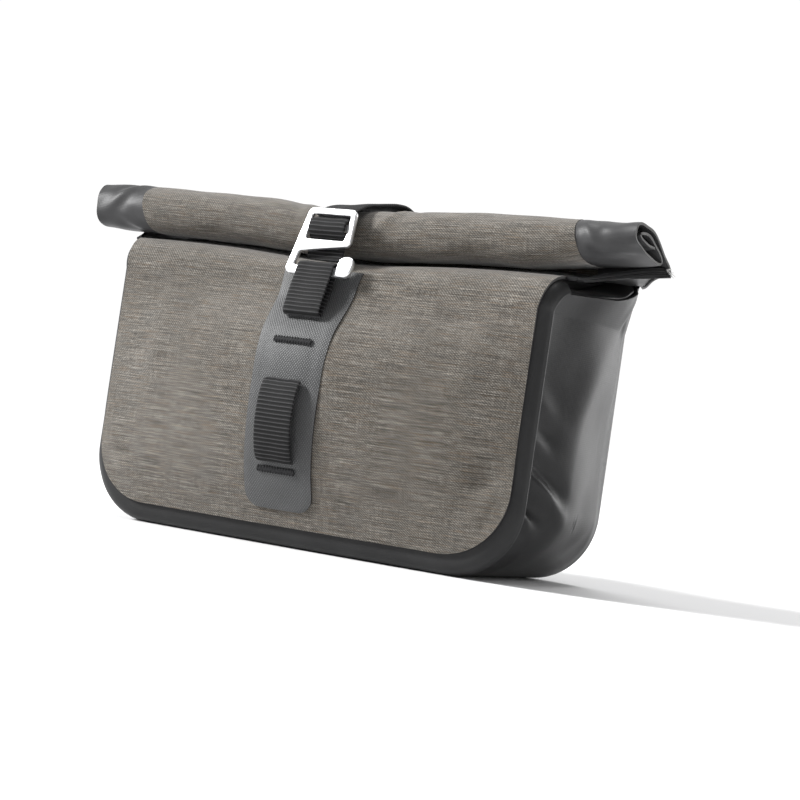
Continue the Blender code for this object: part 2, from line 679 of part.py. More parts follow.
def make_closure_strap(webbing):
    """Strap from the back over the roll, woven through the hook, with a short free tail."""
    clear = GAP + WEBBING / 2
    behind = HOOK_THICKNESS + clear + 0.6
    knots = [hook_to_world(down, back) for down, back in (
        (LOWER_SLOT_END + STRAP_TAIL, behind + 0.6),
        (LOWER_SLOT_END + 1.4, behind),
        (LOWER_SLOT_END - 1.4, HOOK_THICKNESS + 0.5),
        (LOWER_SLOT + 1.8, HOOK_THICKNESS * 0.4),
        (LOWER_SLOT + 0.4, -clear - 0.2),
        ((STRAP_BAR + LOWER_SLOT) / 2, -clear - 0.5),
        (STRAP_BAR - 0.4, -clear - 0.2),
        (STRAP_BAR - 1.9, HOOK_THICKNESS * 0.16),
        (UPPER_SLOT + 0.8, HOOK_THICKNESS + 0.9),
        (UPPER_SLOT - 1.4, behind + 0.3),
        (-0.5, behind + 0.6),
    )]
    for row in STRAP_ROUTE:
        knots.append((row.depth * BODY_DEPTH, HOOK_TOP + (STRAP_PEAK - HOOK_TOP) * row.height))
    outside = BODY_DEPTH + clear
    knots.append((BODY_DEPTH - 1.5, REAR_HEIGHT + 3.0))
    knots.append((outside + 0.2, REAR_HEIGHT - REAR_TOP_RADIUS + 2.0))
    for share in np.linspace(0, 1, 4):
        knots.append((outside, REAR_HEIGHT - REAR_TOP_RADIUS - 3.0
                      + (STRAP_FOOT - REAR_HEIGHT + REAR_TOP_RADIUS + 3.0) * share))
    return strap("closure_strap", smooth_path(knots, 2), WEBBING_WIDTH, webbing)


def make_bar_loop(label, centre, webbing):
    """Plain closed band on the back for the handlebar: flat against the panel, then round."""
    radius = BAR_LOOP_BORE / 2 + BAR_LOOP_WALL
    middle = BODY_DEPTH + GAP + radius
    ring = [(BODY_DEPTH + GAP, BAR_LOOP_HEIGHT - radius), (BODY_DEPTH + GAP, BAR_LOOP_HEIGHT + radius)]
    for turn in np.radians(np.linspace(90, -90, 15)):
        ring.append((middle + radius * math.cos(turn), BAR_LOOP_HEIGHT + radius * math.sin(turn)))
    inner = [(BODY_DEPTH + GAP + BAR_LOOP_WALL, BAR_LOOP_HEIGHT - radius + BAR_LOOP_WALL),
             (BODY_DEPTH + GAP + BAR_LOOP_WALL, BAR_LOOP_HEIGHT + radius - BAR_LOOP_WALL)]
    bore = radius - BAR_LOOP_WALL
    for turn in np.radians(np.linspace(90, -90, 15)):
        inner.append((middle + bore * math.cos(turn), BAR_LOOP_HEIGHT + bore * math.sin(turn)))
    shape = bmesh.new()
    sides = []
    for x in (centre - BAR_LOOP_WIDTH / 2, centre + BAR_LOOP_WIDTH / 2):
        sides.append([[shape.verts.new((x * MM, y * MM, z * MM)) for y, z in line]
                      for line in (ring, inner)])
    (left_outer, left_inner), (right_outer, right_inner) = sides
    count = len(ring)
    for first in range(count):
        second = (first + 1) % count
        shape.faces.new((left_outer[first], left_outer[second], right_outer[second], right_outer[first]))
        shape.faces.new((left_inner[second], left_inner[first], right_inner[first], right_inner[second]))
        shape.faces.new((left_outer[second], left_outer[first], left_inner[first], left_inner[second]))
        shape.faces.new((right_outer[first], right_outer[second], right_inner[second], right_inner[first]))
    bmesh.ops.recalc_face_normals(shape, faces=list(shape.faces))
    mesh = bpy.data.meshes.new("bar_loop")
    shape.to_mesh(mesh)
    shape.free()
    return place(f"handlebar_loop_{label}", mesh, webbing)


def settle(pieces):
    """Move every piece so that the origin lies under the middle of the whole bag."""
    bpy.context.view_layer.update()
    scene = bpy.context.evaluated_depsgraph_get()
    corners = []
    for piece in pieces:
        mesh = piece.evaluated_get(scene).to_mesh()
        places = np.empty(len(mesh.vertices) * 3)
        mesh.vertices.foreach_get("co", places)
        places = places.reshape(-1, 3)
        corners.append(places.min(0))
        corners.append(places.max(0))
        piece.evaluated_get(scene).to_mesh_clear()
    low = np.min(corners, 0)
    high = np.max(corners, 0)
    for piece in pieces:
        piece.location = (-(low[0] + high[0]) / 2, -(low[1] + high[1]) / 2, -low[2])


def main():
    for old in list(bpy.data.objects):
        bpy.data.objects.remove(old, do_unlink=True)
    heather = material("heather_cloth", (0.19, 0.165, 0.14), 0.85)
    coated = material("coated_cloth", (0.055, 0.056, 0.06), 0.5)
    grey = material("grey_patch", (0.16, 0.165, 0.17), 0.6)
    webbing = material("black_webbing", (0.02, 0.02, 0.022), 0.8)
    thread = material("black_thread", (0.015, 0.015, 0.016), 0.8)
    metal = material("bright_metal", (0.8, 0.8, 0.8), 0.25, 1.0)

    seam = ROLL_SEAM
    pieces = [
        make_front_panel(heather),
        make_back_panel(coated),
        make_gusset(coated),
        make_wing(1, "right", coated),
        make_wing(-1, "left", coated),
        make_roll("roll_top", -seam + GAP / 2, seam - GAP / 2, 12, heather),
        make_roll("roll_end_right", seam + GAP / 2, ROLL_HALF_LENGTH, 5, coated),
        make_roll("roll_end_left", -ROLL_HALF_LENGTH, -seam - GAP / 2, 5, coated),
        make_patch(grey),
        make_front_loop(webbing),
        make_tack("bar_tack_upper", UPPER_TACK, thread),
        make_tack("bar_tack_lower", LOWER_TACK, thread),
        make_hook(metal),
        make_hook_loop(webbing),
        make_closure_strap(webbing),
        make_bar_loop("left", -BAR_LOOP_PLACE, webbing),
        make_bar_loop("right", BAR_LOOP_PLACE, webbing),
    ]
    settle(pieces)


main()
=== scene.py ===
"""Roll-top handlebar bag, dressed in fine cloth, webbing, thread and metal.

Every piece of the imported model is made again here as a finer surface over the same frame.
Sizes are in millimetres in the frame in which the bag was cut out, whose front edge lies in
the plane y = 0.  A mesh moves to the model's frame and to metres when made.
"""
import math
from collections import namedtuple

import bpy
import numpy as np
from mathutils import Matrix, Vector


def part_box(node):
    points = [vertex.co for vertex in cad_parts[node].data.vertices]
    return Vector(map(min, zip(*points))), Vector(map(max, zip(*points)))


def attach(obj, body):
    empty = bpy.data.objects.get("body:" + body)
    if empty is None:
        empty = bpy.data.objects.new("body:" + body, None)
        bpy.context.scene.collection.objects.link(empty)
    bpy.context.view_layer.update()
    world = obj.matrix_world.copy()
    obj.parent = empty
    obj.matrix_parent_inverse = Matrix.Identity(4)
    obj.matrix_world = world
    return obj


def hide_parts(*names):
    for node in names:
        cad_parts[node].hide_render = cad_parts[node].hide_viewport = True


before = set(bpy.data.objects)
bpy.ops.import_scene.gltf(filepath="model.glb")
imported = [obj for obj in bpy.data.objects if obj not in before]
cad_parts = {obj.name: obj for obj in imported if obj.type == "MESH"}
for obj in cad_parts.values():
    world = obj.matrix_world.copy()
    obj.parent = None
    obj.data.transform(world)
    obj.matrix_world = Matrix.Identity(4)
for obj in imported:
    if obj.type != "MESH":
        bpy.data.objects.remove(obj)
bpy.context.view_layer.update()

MM = 0.001

# Cloth, webbing and clearance
GAP = 0.3
PANEL_CLOTH = 1.2
COATED_CLOTH = 1.3
ROLL_CLOTH = 1.2
PATCH_CLOTH = 0.8
PATCH_FACE = 1.15
WEBBING = 1.5
WEBBING_WIDTH = 20.0
RIB_PITCH = 1.95
RIB_RISE = 0.34

# Body
BODY_HALF_WIDTH = 120.0
BODY_DEPTH = 103.5
BODY_CORNER = 35.0
FRONT_EDGE_RADIUS = 6.2
REAR_EDGE_RADIUS = 5.3
FLANGE_WIDTH = 6.0
FACET_ROOM = 0.2
PANEL_CORNER = 31.5
PANEL_SIDE_INSET = 5.0
PANEL_BOTTOM_INSET = 9.6
BACK_INSET = 5.0
HOLLOW_FRONT = 6.0
CREST_RISE = 5.4
WAIST = 1.7
WELD_DEPTH = 7.9
WELD_RISE = 0.32
WELD_WIDTH = 0.75

# Top of the body
SHOULDER_HEIGHT = 126.5
SHOULDER_RADIUS = 17.5
SHOULDER_TURN = math.radians(75)
SHOULDER_FLARE = 4.0
NECK_DEPTH = 63.0
NECK_HEIGHT = 151.0
NECK_SLIT = 5.0
REAR_HEIGHT = 153.0
REAR_TOP_RADIUS = 6.0
LIP_REAR_HEIGHT = 142.5
LIP_RISE = 3.0
LIP_CORNER_RISE = 9.5
PLEAT_REACH = 22.0
WING_REACH = 27.0
WING_FOLD = 0.7
WING_LIFT = 5.4
WING_START = 18.0
WING_TUCK = 2.6
WING_END_CLEARANCE = 3.5

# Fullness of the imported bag
BULGE = 18.4
TOP_SAG = 4.0
SAG_HALF_WIDTH = 50.0

# Roll
ROLL_HALF_LENGTH = 152.5
ROLL_DEPTH = 52.0
ROLL_HEIGHT = 24.5
ROLL_TOP = 172.1
ROLL_BASE = ROLL_TOP - ROLL_HEIGHT
ROLL_FRONT = NECK_DEPTH - ROLL_DEPTH
FLATTEN_START = 95.0
SEAM_LAP = 0.25
SEAM_OVERLAP = 1.0
SPIRAL_STEPS = 9

# Patch and webbing on the front
PATCH_HALF_WIDTH = 18.7
PATCH_CORNER = 8.0
PATCH_BOTTOM = 17.5
PATCH_TOP = 134.9
PATCH_TOP_SPREAD = 3.0
FRONT_LOOP_BOTTOM = 40.0
FRONT_LOOP_TOP = 78.5
FRONT_LOOP_RISE = 4.3
UPPER_TACK = 98.0
LOWER_TACK = 36.0
TACK_HEIGHT = 3.0
TACK_STITCHES = 44
HOOK_LOOP_BOTTOM = 110.5

# Hook
HOOK_THICKNESS = 2.5
HOOK_EDGE = 0.75
HOOK_WIDTH = 26.4
HOOK_LENGTH = 35.2
HOOK_TILT = math.radians(15)
HOOK_TOP = ROLL_TOP - TOP_SAG - 3.0
HOOK_FRONT = ROLL_FRONT - 8.8
BAR_TOP = 30.6
UPPER_SLOT = 3.6
STRAP_BAR = 8.0
LOWER_SLOT = 11.6
LOWER_SLOT_END = 16.6
KNOB_WIDTH = 9.2
KNOB_TURN = 3.9
HOOK_SIDE_ROOM = 0.6

# Closure strap
STRAP_PEAK = ROLL_TOP - TOP_SAG + 8.0
STRAP_FOOT = 98.0
STRAP_TAIL = 9.0
STRAP_DROOP = 6.5
DROOP_PLACE = 42.0
DROOP_REACH = 20.0

# Loops for the handlebar
BAR_LOOP_PLACE = 62.0
BAR_LOOP_BORE = 33.0
BAR_LOOP_HEIGHT = 116.0
BAR_LOOP_WALL = 2.2
BAR_LOOP_WIDTH = 25.0
BAR_LOOP_CORNER = 4.0

# Camera: azimuth, elevation and roll in degrees, the point it looks at, its distance, and its
# focal length as a share of the picture's width
CAMERA_TURNS = (28.26, -1.61, 8.32)
CAMERA_ACROSS = 52.21
CAMERA_HEIGHT = 77.11
CAMERA_DISTANCE = 887.1
CAMERA_FOCUS = 1897.67 / 800
SENSOR_WIDTH = 36.0

# Floor
FLOOR_REACH = 40000.0
FLOOR_HEIGHT = -0.2

# Values that follow from those above
PANEL_HALF_WIDTH = BODY_HALF_WIDTH - PANEL_SIDE_INSET
PANEL_TOP_HALF_WIDTH = PANEL_HALF_WIDTH + SHOULDER_FLARE
SHOULDER_END_DEPTH = SHOULDER_RADIUS * (1 - math.cos(SHOULDER_TURN))
SHOULDER_END_HEIGHT = SHOULDER_HEIGHT + SHOULDER_RADIUS * math.sin(SHOULDER_TURN)
FRAME_SHIFT = BODY_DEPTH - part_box("back_panel")[1][1] / MM

# How full the front is at each height, as shares of the shoulder height and of the bulge
FULL_HEIGHTS = (0.00, 0.08, 0.17, 0.29, 0.45, 0.60, 0.74, 0.81, 0.88, 0.94, 1.00, 1.10)
FULL_SHARES = (0.20, 0.27, 0.48, 0.78, 0.97, 1.00, 0.93, 0.78, 0.48, 0.19, 0.02, 0.00)

# Dents of the front: place and radius in millimetres, depth
Dent = namedtuple("Dent", "across height radius depth")
DENTS = (
    Dent(103.5, 46.8, 9.5, 2.4),
    Dent(82.8, 117.6, 18.9, 1.6),
    Dent(-63.3, 120.2, 22.0, 1.3),
    Dent(34.5, 113.9, 14.2, 1.4),
)

# Creases: place, turn of the line in degrees, half length, half width and rise
Crease = namedtuple("Crease", "across along turn length width rise")
RIGHT_SIDE_CREASES = (
    Crease(23.5, 45.0, -37, 14.5, 4.2, 3.9),
    Crease(14.5, 31.5, -34, 8.0, 3.0, 3.0),
    Crease(18.5, 65.0, -30, 10.0, 4.4, 2.0),
    Crease(21.0, 82.0, -40, 12.0, 5.0, 0.8),
    Crease(87.0, 132.0, 46, 8.5, 2.6, -1.5),
    Crease(72.0, 24.0, 35, 14.0, 5.0, 0.5),
    Crease(58.0, 31.0, 80, 3.0, 0.7, -0.6),
)
LEFT_SIDE_CREASES = (
    Crease(20.0, 50.0, -35, 13.0, 3.4, 2.2),
    Crease(16.0, 34.0, -22, 9.0, 2.8, 1.6),
    Crease(30.0, 96.0, 52, 15.0, 4.6, 1.0),
    Crease(84.0, 124.0, 40, 10.0, 3.4, -1.2),
)
FRONT_CREASES = (
    Crease(52.0, 121.0, 8, 26.0, 3.4, 0.5),
    Crease(-44.0, 118.0, -10, 24.0, 4.0, 0.5),
    Crease(104.0, 34.0, 58, 15.0, 4.0, 0.9),
    Crease(-101.0, 30.0, -52, 14.0, 4.5, 0.7),
    Crease(88.0, 100.0, 70, 22.0, 7.0, 0.5),
    Crease(-84.0, 88.0, 76, 26.0, 8.0, 0.5),
)
ROLL_CREASES = (
    Crease(-22.0, 62.0, 70, 16.0, 3.2, 0.8),
    Crease(24.0, 60.0, -66, 16.0, 3.0, 0.9),
    Crease(70.0, 72.0, -24, 30.0, 5.0, 0.5),
    Crease(-80.0, 66.0, 18, 34.0, 5.5, 0.5),
    Crease(131.0, 64.0, 62, 12.0, 2.6, 0.9),
    Crease(-134.0, 60.0, -55, 13.0, 2.8, 1.0),
    Crease(-125.0, 78.0, 30, 10.0, 2.4, 0.7),
    Crease(142.0, 74.0, 40, 9.0, 2.2, 0.6),
)

# Spiral of the rolled mouth: shares of its depth and height at each knot, first in the middle,
# then at the right end, then at the left end
SPIRAL = (
    (0.995, 0.040, 1.010, 0.215, 1.000, 0.215),
    (0.990, 0.235, 1.005, 0.275, 1.000, 0.275),
    (0.955, 0.440, 0.945, 0.400, 0.950, 0.530),
    (0.830, 0.700, 0.810, 0.585, 0.840, 0.770),
    (0.635, 0.900, 0.615, 0.810, 0.660, 0.930),
    (0.415, 1.000, 0.385, 0.955, 0.440, 1.000),
    (0.210, 0.955, 0.190, 0.990, 0.240, 0.980),
    (0.060, 0.755, 0.055, 0.910, 0.100, 0.850),
    (0.000, 0.470, 0.020, 0.710, 0.030, 0.600),
    (0.040, 0.185, 0.085, 0.585, 0.010, 0.300),
    (0.155, 0.020, 0.210, 0.515, 0.060, 0.080),
    (0.350, 0.010, 0.385, 0.440, 0.190, 0.030),
    (0.540, 0.070, 0.560, 0.380, 0.340, 0.110),
    (0.710, 0.165, 0.700, 0.360, 0.490, 0.250),
    (0.800, 0.330, 0.750, 0.445, 0.600, 0.420),
    (0.730, 0.560, 0.655, 0.600, 0.600, 0.620),
    (0.560, 0.745, 0.480, 0.755, 0.490, 0.780),
    (0.365, 0.800, 0.310, 0.830, 0.330, 0.830),
    (0.200, 0.690, 0.170, 0.815, 0.210, 0.740),
    (0.135, 0.450, 0.135, 0.740, 0.150, 0.560),
    (0.200, 0.235, 0.210, 0.665, 0.190, 0.370),
    (0.400, 0.225, 0.365, 0.615, 0.310, 0.290),
    (0.590, 0.320, 0.520, 0.585, 0.430, 0.360),
)

# Closure strap over the roll: share of the body's depth, share of the way from the hook's
# top to the strap's peak
STRAP_ROUTE = (
    (0.145, 0.30), (0.205, 0.49), (0.290, 0.66), (0.385, 0.84), (0.475, 0.97),
    (0.575, 0.98), (0.700, 0.66), (0.820, 0.13), (0.915, -0.40),
)


# ---- Shader maths

class Socket:
    """An output of a node.  Its sums, products and powers add Math nodes."""

    def __init__(self, finish, link):
        self.finish = finish
        self.link = link

    def maths(self, operation, *values):
        return self.finish.node("ShaderNodeMath", {"operation": operation}, dict(enumerate(values)))

    def __add__(self, other):
        return self.maths("ADD", self, other)

    def __sub__(self, other):
        return self.maths("SUBTRACT", self, other)

    def __rsub__(self, other):
        return self.maths("SUBTRACT", other, self)

    def __mul__(self, other):
        return self.maths("MULTIPLY", self, other)

    def __pow__(self, other):
        return self.maths("POWER", self, other)

    __radd__ = __add__
    __rmul__ = __mul__

    def wave(self, kind="SINE"):
        """Sine or cosine of the value, brought to the range from 0 to 1."""
        return self.maths(kind, self) * 0.5 + 0.5

    def within(self, low, high):
        """0 at low, 1 at high and smooth between them."""
        return self.finish.node("ShaderNodeMapRange", {"interpolation_type": "SMOOTHSTEP"},
                                {"Value": self, "From Min": low, "From Max": high})


class Nodes:
    """A node tree, with one method for every node."""

    def __init__(self, tree):
        self.tree = tree

    def node(self, kind, settings=None, sockets=None, output=0):
        made = self.tree.nodes.new(kind)
        for key, value in (settings or {}).items():
            if key == "stops":
                while len(made.color_ramp.elements) < len(value):
                    made.color_ramp.elements.new(0.5)
                for element, (place, colour) in zip(made.color_ramp.elements, value):
                    element.position = place
                    element.color = (*colour, 1.0)
            else:
                setattr(made, key, value)
        for key, value in (sockets or {}).items():
            self.join(made.inputs[key], value)
        return Socket(self, made.outputs[output])

    def join(self, target, value):
        if isinstance(value, Socket):
            self.tree.links.new(target, value.link)
        else:
            target.default_value = value


class Finish(Nodes):
    """A material under construction."""

    def __init__(self, name, **fixed):
        self.material = bpy.data.materials.new(name)
        self.material.use_nodes = True
        super().__init__(self.material.node_tree)
        self.shader = self.tree.nodes["Principled BSDF"]
        for key, value in fixed.items():
            self.shader.inputs[key.replace("_", " ")].default_value = value

    def give(self, **values):
        for key, value in values.items():
            self.join(self.shader.inputs[key.replace("_", " ")], value)

    def cloth_axes(self):
        """The two directions of the cloth, in millimetres from the piece's own UV map."""
        vector = self.node("ShaderNodeUVMap", {"uv_map": "cloth"})
        return [self.node("ShaderNodeSeparateXYZ", {}, {0: vector}, place) * 100.0 for place in (0, 1)]

    def object_place(self):
        return self.node("ShaderNodeTexCoord", {}, {}, "Object")

    def noise(self, vector, scale, detail=2.0, rough=0.5):
        return self.node("ShaderNodeTexNoise", {},
                         {"Vector": vector, "Scale": scale, "Detail": detail, "Roughness": rough})

    def stretched(self, across, along, level=0.0, detail=2.0, rough=0.5):
        """Noise over three scaled directions, so that it is drawn out along one of them."""
        place = self.node("ShaderNodeCombineXYZ", {}, {0: across, 1: along, 2: level})
        return self.noise(place, 1.0, detail, rough)

    def ramp(self, value, stops):
        return self.node("ShaderNodeValToRGB", {"stops": stops}, {0: value})

    def mix(self, share, first, second, blend="MIX"):
        made = self.tree.nodes.new("ShaderNodeMix")
        made.data_type = "RGBA"
        made.blend_type = blend
        self.join(made.inputs["Factor"], share)
        for key, value in (("A", first), ("B", second)):
            socket = next(item for item in made.inputs if item.name == key and item.type == "RGBA")
            self.join(socket, value if isinstance(value, Socket) else (*value, 1.0))
        return Socket(self, next(item for item in made.outputs if item.type == "RGBA"))

    def bump(self, height, rise, strength=1.0, under=None):
        """A normal from a height between 0 and 1, whose full rise is given in millimetres."""
        sockets = {"Height": height, "Distance": rise * MM, "Strength": strength}
        if under is not None:
            sockets["Normal"] = under
        return self.node("ShaderNodeBump", {}, sockets)


def heather_finish(name, slant, tone=1.0):
    """Melange twill: fine weft streaks in browns and greys, slanted twill lines, dry sheen."""
    finish = Finish(name, Sheen_Weight=0.25, Sheen_Roughness=0.5, Specular_IOR_Level=0.22)
    across, along = finish.cloth_axes()
    streaks, weft, warp, fleck, drift, hue = (
        finish.stretched(across * wide, along * long, *rest) for wide, long, *rest in (
            (0.045, 2.5, 0.0, 2.0, 0.6), (0.22, 2.7, 3.0, 3.0, 0.7), (2.3, 0.10, 0.0, 2.0, 0.6),
            (0.9, 2.8, 0.0, 3.0, 0.75), (0.02, 0.03), (0.06, 2.2, 7.0, 2.0, 0.7)))
    twill = ((across * slant + along) * (math.tau / 1.25)).wave()
    threads = (across * (math.tau / 0.62)).wave() * (along * (math.tau / 0.55)).wave()
    mixed = (streaks * 0.42 + weft * 0.34 + warp * 0.16 + fleck * 0.28 + twill * 0.10
             + threads * 0.05 - 0.165)
    shades = ((0.37, (0.020, 0.017, 0.0135)), (0.45, (0.053, 0.047, 0.039)),
              (0.515, (0.103, 0.093, 0.080)), (0.58, (0.190, 0.175, 0.152)),
              (0.67, (0.350, 0.325, 0.288)))
    colour = finish.ramp(mixed, [(place, [tone * part for part in shade]) for place, shade in shades])
    colour = finish.mix(hue.within(0.54, 0.66) * 0.42, colour, (0.150, 0.096, 0.052))
    colour = finish.mix(hue.within(0.46, 0.34) * 0.30, colour, (0.085, 0.088, 0.090))
    colour = finish.mix(drift.within(0.35, 0.75) * 0.14, colour, (0.060, 0.054, 0.046))
    relief = finish.bump(twill * 0.5 + threads * 0.35 + fleck * 0.5, 0.16, 0.75)
    finish.give(Base_Color=colour, Roughness=0.80 + weft * 0.14, Normal=relief)
    return finish.material


def coated_finish(name, colour, grain=0.10, rough=0.42):
    """Coated cloth: a satin film over fine cloth, with soft mottling and rubbed lines."""
    finish = Finish(name, Specular_IOR_Level=0.21, Sheen_Weight=0.03, Sheen_Roughness=0.35)
    across, along = finish.cloth_axes()
    place = finish.object_place()
    mottle = finish.noise(place, 34.0, 4.0, 0.6)
    pores = finish.noise(place, 1500.0, 3.0, 0.6)
    cloud = finish.noise(place, 9.0, 2.0)
    weave = (across * (math.tau / 0.9)).wave() * (along * (math.tau / 0.9)).wave()
    scuffs = finish.stretched(across * 0.04, along * 0.9, 0.0, 4.0, 0.7).within(0.62, 0.76)
    lighter = tuple(min(1.0, 1.9 * part + 0.008) for part in colour)
    tint = finish.mix(mottle.within(0.35, 0.8) * 0.35 + scuffs * 0.14, colour, lighter)
    relief = finish.bump(pores * 0.6 + weave * 0.4, grain, 0.55)
    relief = finish.bump(mottle, 0.5, 0.35, relief)
    finish.give(Base_Color=tint, Normal=relief,
                Roughness=rough + mottle * 0.10 + cloud * 0.08 + scuffs * 0.08 - 0.06)
    return finish.material


def patch_finish():
    """Grey coated patch, embossed with a fine diamond twill."""
    finish = Finish("grey_patch_film", Specular_IOR_Level=0.42, Sheen_Weight=0.15, Sheen_Roughness=0.4)
    across, along = finish.cloth_axes()
    place = finish.object_place()
    rising, falling = (((across + along * slant) * (math.tau / 1.35)).wave() for slant in (0.75, -0.75))
    diamonds = rising * falling
    mottle = finish.noise(place, 60.0, 3.0, 0.6)
    pores = finish.noise(place, 1400.0, 2.0)
    shade = diamonds * 0.45 + mottle * 0.35 + pores * 0.2
    colour = finish.ramp(shade, [(0.15, (0.029, 0.030, 0.031)), (0.5, (0.062, 0.063, 0.064)),
                                 (0.85, (0.112, 0.114, 0.116))])
    relief = finish.bump(diamonds * 0.8 + pores * 0.2, 0.22, 0.8)
    finish.give(Base_Color=colour, Roughness=0.46 + mottle * 0.14 - diamonds * 0.06, Normal=relief)
    return finish.material


def webbing_finish():
    """Black ribbed webbing: fine threads along it, with a painted highlight along each rib's crest."""
    finish = Finish("black_webbing_weave", Sheen_Weight=0.04, Sheen_Roughness=0.4, Specular_IOR_Level=0.18)
    across, along = finish.cloth_axes()
    ribs = (along * (math.tau / RIB_PITCH)).wave("COSINE")
    threads = (across * (math.tau / 0.55)).wave()
    fuzz = finish.stretched(across * 1.6, along * 3.0, 0.0, 3.0, 0.7)
    wear = finish.noise(finish.object_place(), 45.0, 3.0, 0.6)
    # The ribs term paints a highlight along each rib's crest; the threads, fuzz and wear terms are the
    # webbing's own tone.
    shade = ribs ** 3.0 * 0.42 + threads * 0.14 + fuzz * 0.30 + wear * 0.10
    colour = finish.ramp(shade, [(0.25, (0.0035, 0.0035, 0.0037)), (0.52, (0.012, 0.012, 0.0125)),
                                 (0.85, (0.090, 0.090, 0.093))])
    relief = finish.bump(threads * 0.6 + fuzz * 0.5, 0.14, 0.8)
    finish.give(Base_Color=colour, Roughness=0.56 + fuzz * 0.22, Normal=relief)
    return finish.material


def thread_finish(name, dark, light):
    """Sewing thread: its shade and relief vary finely, and its shade also in patches."""
    finish = Finish(name, Sheen_Weight=0.05, Specular_IOR_Level=0.15)
    place = finish.object_place()
    twist = finish.noise(place, 2600.0, 2.0, 0.6)
    patchy = finish.noise(place, 300.0, 2.0)
    colour = finish.mix(twist * 0.6 + patchy * 0.3, dark, light)
    finish.give(Base_Color=colour, Roughness=0.55 + twist * 0.25, Normal=finish.bump(twist, 0.08, 0.6))
    return finish.material


def metal_finish():
    """Bright tumbled aluminium, with a fine grain, faint clouding and scratches."""
    finish = Finish("bright_aluminium")
    place = finish.object_place()
    grain = finish.noise(place, 2200.0, 3.0, 0.6)
    cloud = finish.noise(place, 120.0, 3.0, 0.6)
    x, y, z = (finish.node("ShaderNodeSeparateXYZ", {}, {0: place}, part) for part in range(3))
    lines = finish.stretched(x * 900.0 + z * 500.0, z * 30.0, y * 60.0, 3.0, 0.7)
    scratches = lines.within(0.66, 0.74)
    colour = finish.mix(cloud * 0.35 + scratches * 0.25, (0.93, 0.935, 0.945), (0.78, 0.785, 0.80))
    finish.give(Base_Color=colour, Metallic=0.92 + grain * 0.05,
                Roughness=0.24 + cloud * 0.12 + grain * 0.06 + scratches * 0.1,
                Normal=finish.bump(grain * 0.7 + scratches * 0.3, 0.03, 0.5))
    return finish.material


def floor_finish():
    """Pale matte paper with a barely visible tooth."""
    finish = Finish("pale_floor", Specular_IOR_Level=0.1)
    tooth = finish.noise(finish.object_place(), 220.0, 3.0, 0.6)
    colour = finish.mix(tooth * 0.5, (0.84, 0.84, 0.845), (0.80, 0.80, 0.805))
    finish.give(Base_Color=colour, Roughness=0.92 + tooth * 0.05)
    return finish.material


# ---- Shapes worked out as arrays

def unit(value):
    """The value held between 0 and 1."""
    return np.clip(value, 0, 1)


def bell(value, power=2):
    """1 at zero, falling off on both sides: the exponential of less the value's power."""
    return np.exp(-value ** power)


def chain(*parts):
    """Arrays one after the other."""
    return np.concatenate(parts)


def smooth(place, knots, values):
    """Cubics through a table of knots and values, with the table's central differences as slopes."""
    knots = np.asarray(knots, float)
    values = np.asarray(values, float)
    slopes = np.gradient(values, knots)
    place = np.clip(place, knots[0], knots[-1])
    left = np.clip(np.searchsorted(knots, place, side="right") - 1, 0, len(knots) - 2)
    step = knots[left + 1] - knots[left]
    t = (place - knots[left]) / step
    return ((2 * t ** 3 - 3 * t ** 2 + 1) * values[left] + (t ** 3 - 2 * t ** 2 + t) * step * slopes[left]
            + (3 * t ** 2 - 2 * t ** 3) * values[left + 1] + (t ** 3 - t ** 2) * step * slopes[left + 1])


def smooth_path(points, steps):
    """Catmull-Rom curve through rows of points: four neighbours weighted by cubics of the share."""
    points = np.asarray(points, float)
    ends = chain(2 * points[:1] - points[1:2], points, 2 * points[-1:] - points[-2:-1])
    share = np.linspace(0, 1, steps, endpoint=False).reshape((1, -1) + (1,) * (points.ndim - 1))
    before, start, stop, after = (ends[first:len(ends) - 3 + first, None] for first in range(4))
    curve = 0.5 * (2 * start + (stop - before) * share
                   + (2 * before - 5 * start + 4 * stop - after) * share ** 2
                   + (3 * start - before - 3 * stop + after) * share ** 3)
    return chain(curve.reshape((-1,) + points.shape[1:]), points[-1:])


def running_length(points):
    """Length of a line up to each of its points: the running sum of its steps."""
    return chain([0], np.cumsum(np.linalg.norm(np.diff(points, axis=0), axis=1)))


def paired(across, along):
    """Two directions of a cloth as one grid of pairs."""
    return np.stack(np.broadcast_arrays(across, along), -1)


def even_path(points, step):
    """The same line with its points a step apart, found along its running length."""
    length = running_length(points)
    places = np.linspace(0, length[-1], max(int(length[-1] / step), 8) + 1)
    return np.stack([np.interp(places, length, column) for column in points.T], 1), places


def eased(share):
    """Share from 0 to 1 with level ends: three squares less two cubes."""
    return share * share * (3 - 2 * share)


def ripple(across, along, size, seed):
    """Gentle unevenness: seven plane waves of about one length, turned and shifted by the seed."""
    waves = np.random.default_rng(seed).uniform(0, 1, (7, 3))
    total = 0.0
    for turn, phase, stretch in waves:
        turn = turn * math.tau
        reach = math.tau / (size * (0.7 + stretch))
        total = total + np.sin(reach * (across * math.cos(turn) + along * math.sin(turn)) + phase * math.tau)
    return total / math.sqrt(len(waves))


def creased(across, along, creases):
    """Each crease is a bell across its line beside a wider, lower hollow, and a bell along it."""
    total = 0.0
    for row in creases:
        turn = math.radians(row.turn)
        forward = (across - row.across) * math.cos(turn) + (along - row.along) * math.sin(turn)
        aside = (along - row.along) * math.cos(turn) - (across - row.across) * math.sin(turn)
        ridge = bell(aside / row.width) - 0.55 * bell((np.abs(aside) / row.width - 2.0) / 1.1)
        total = total + row.rise * ridge * bell(forward / row.length)
    return total


def pushed(points, amount):
    """Moves a grid along its normals, the cross products of its central differences."""
    rows = np.gradient(points, axis=0)
    columns = np.gradient(points, axis=1)
    normal = np.cross(rows, columns)
    normal /= np.linalg.norm(normal, axis=2, keepdims=True) + 1e-9
    return points + normal * np.asarray(amount)[..., None]


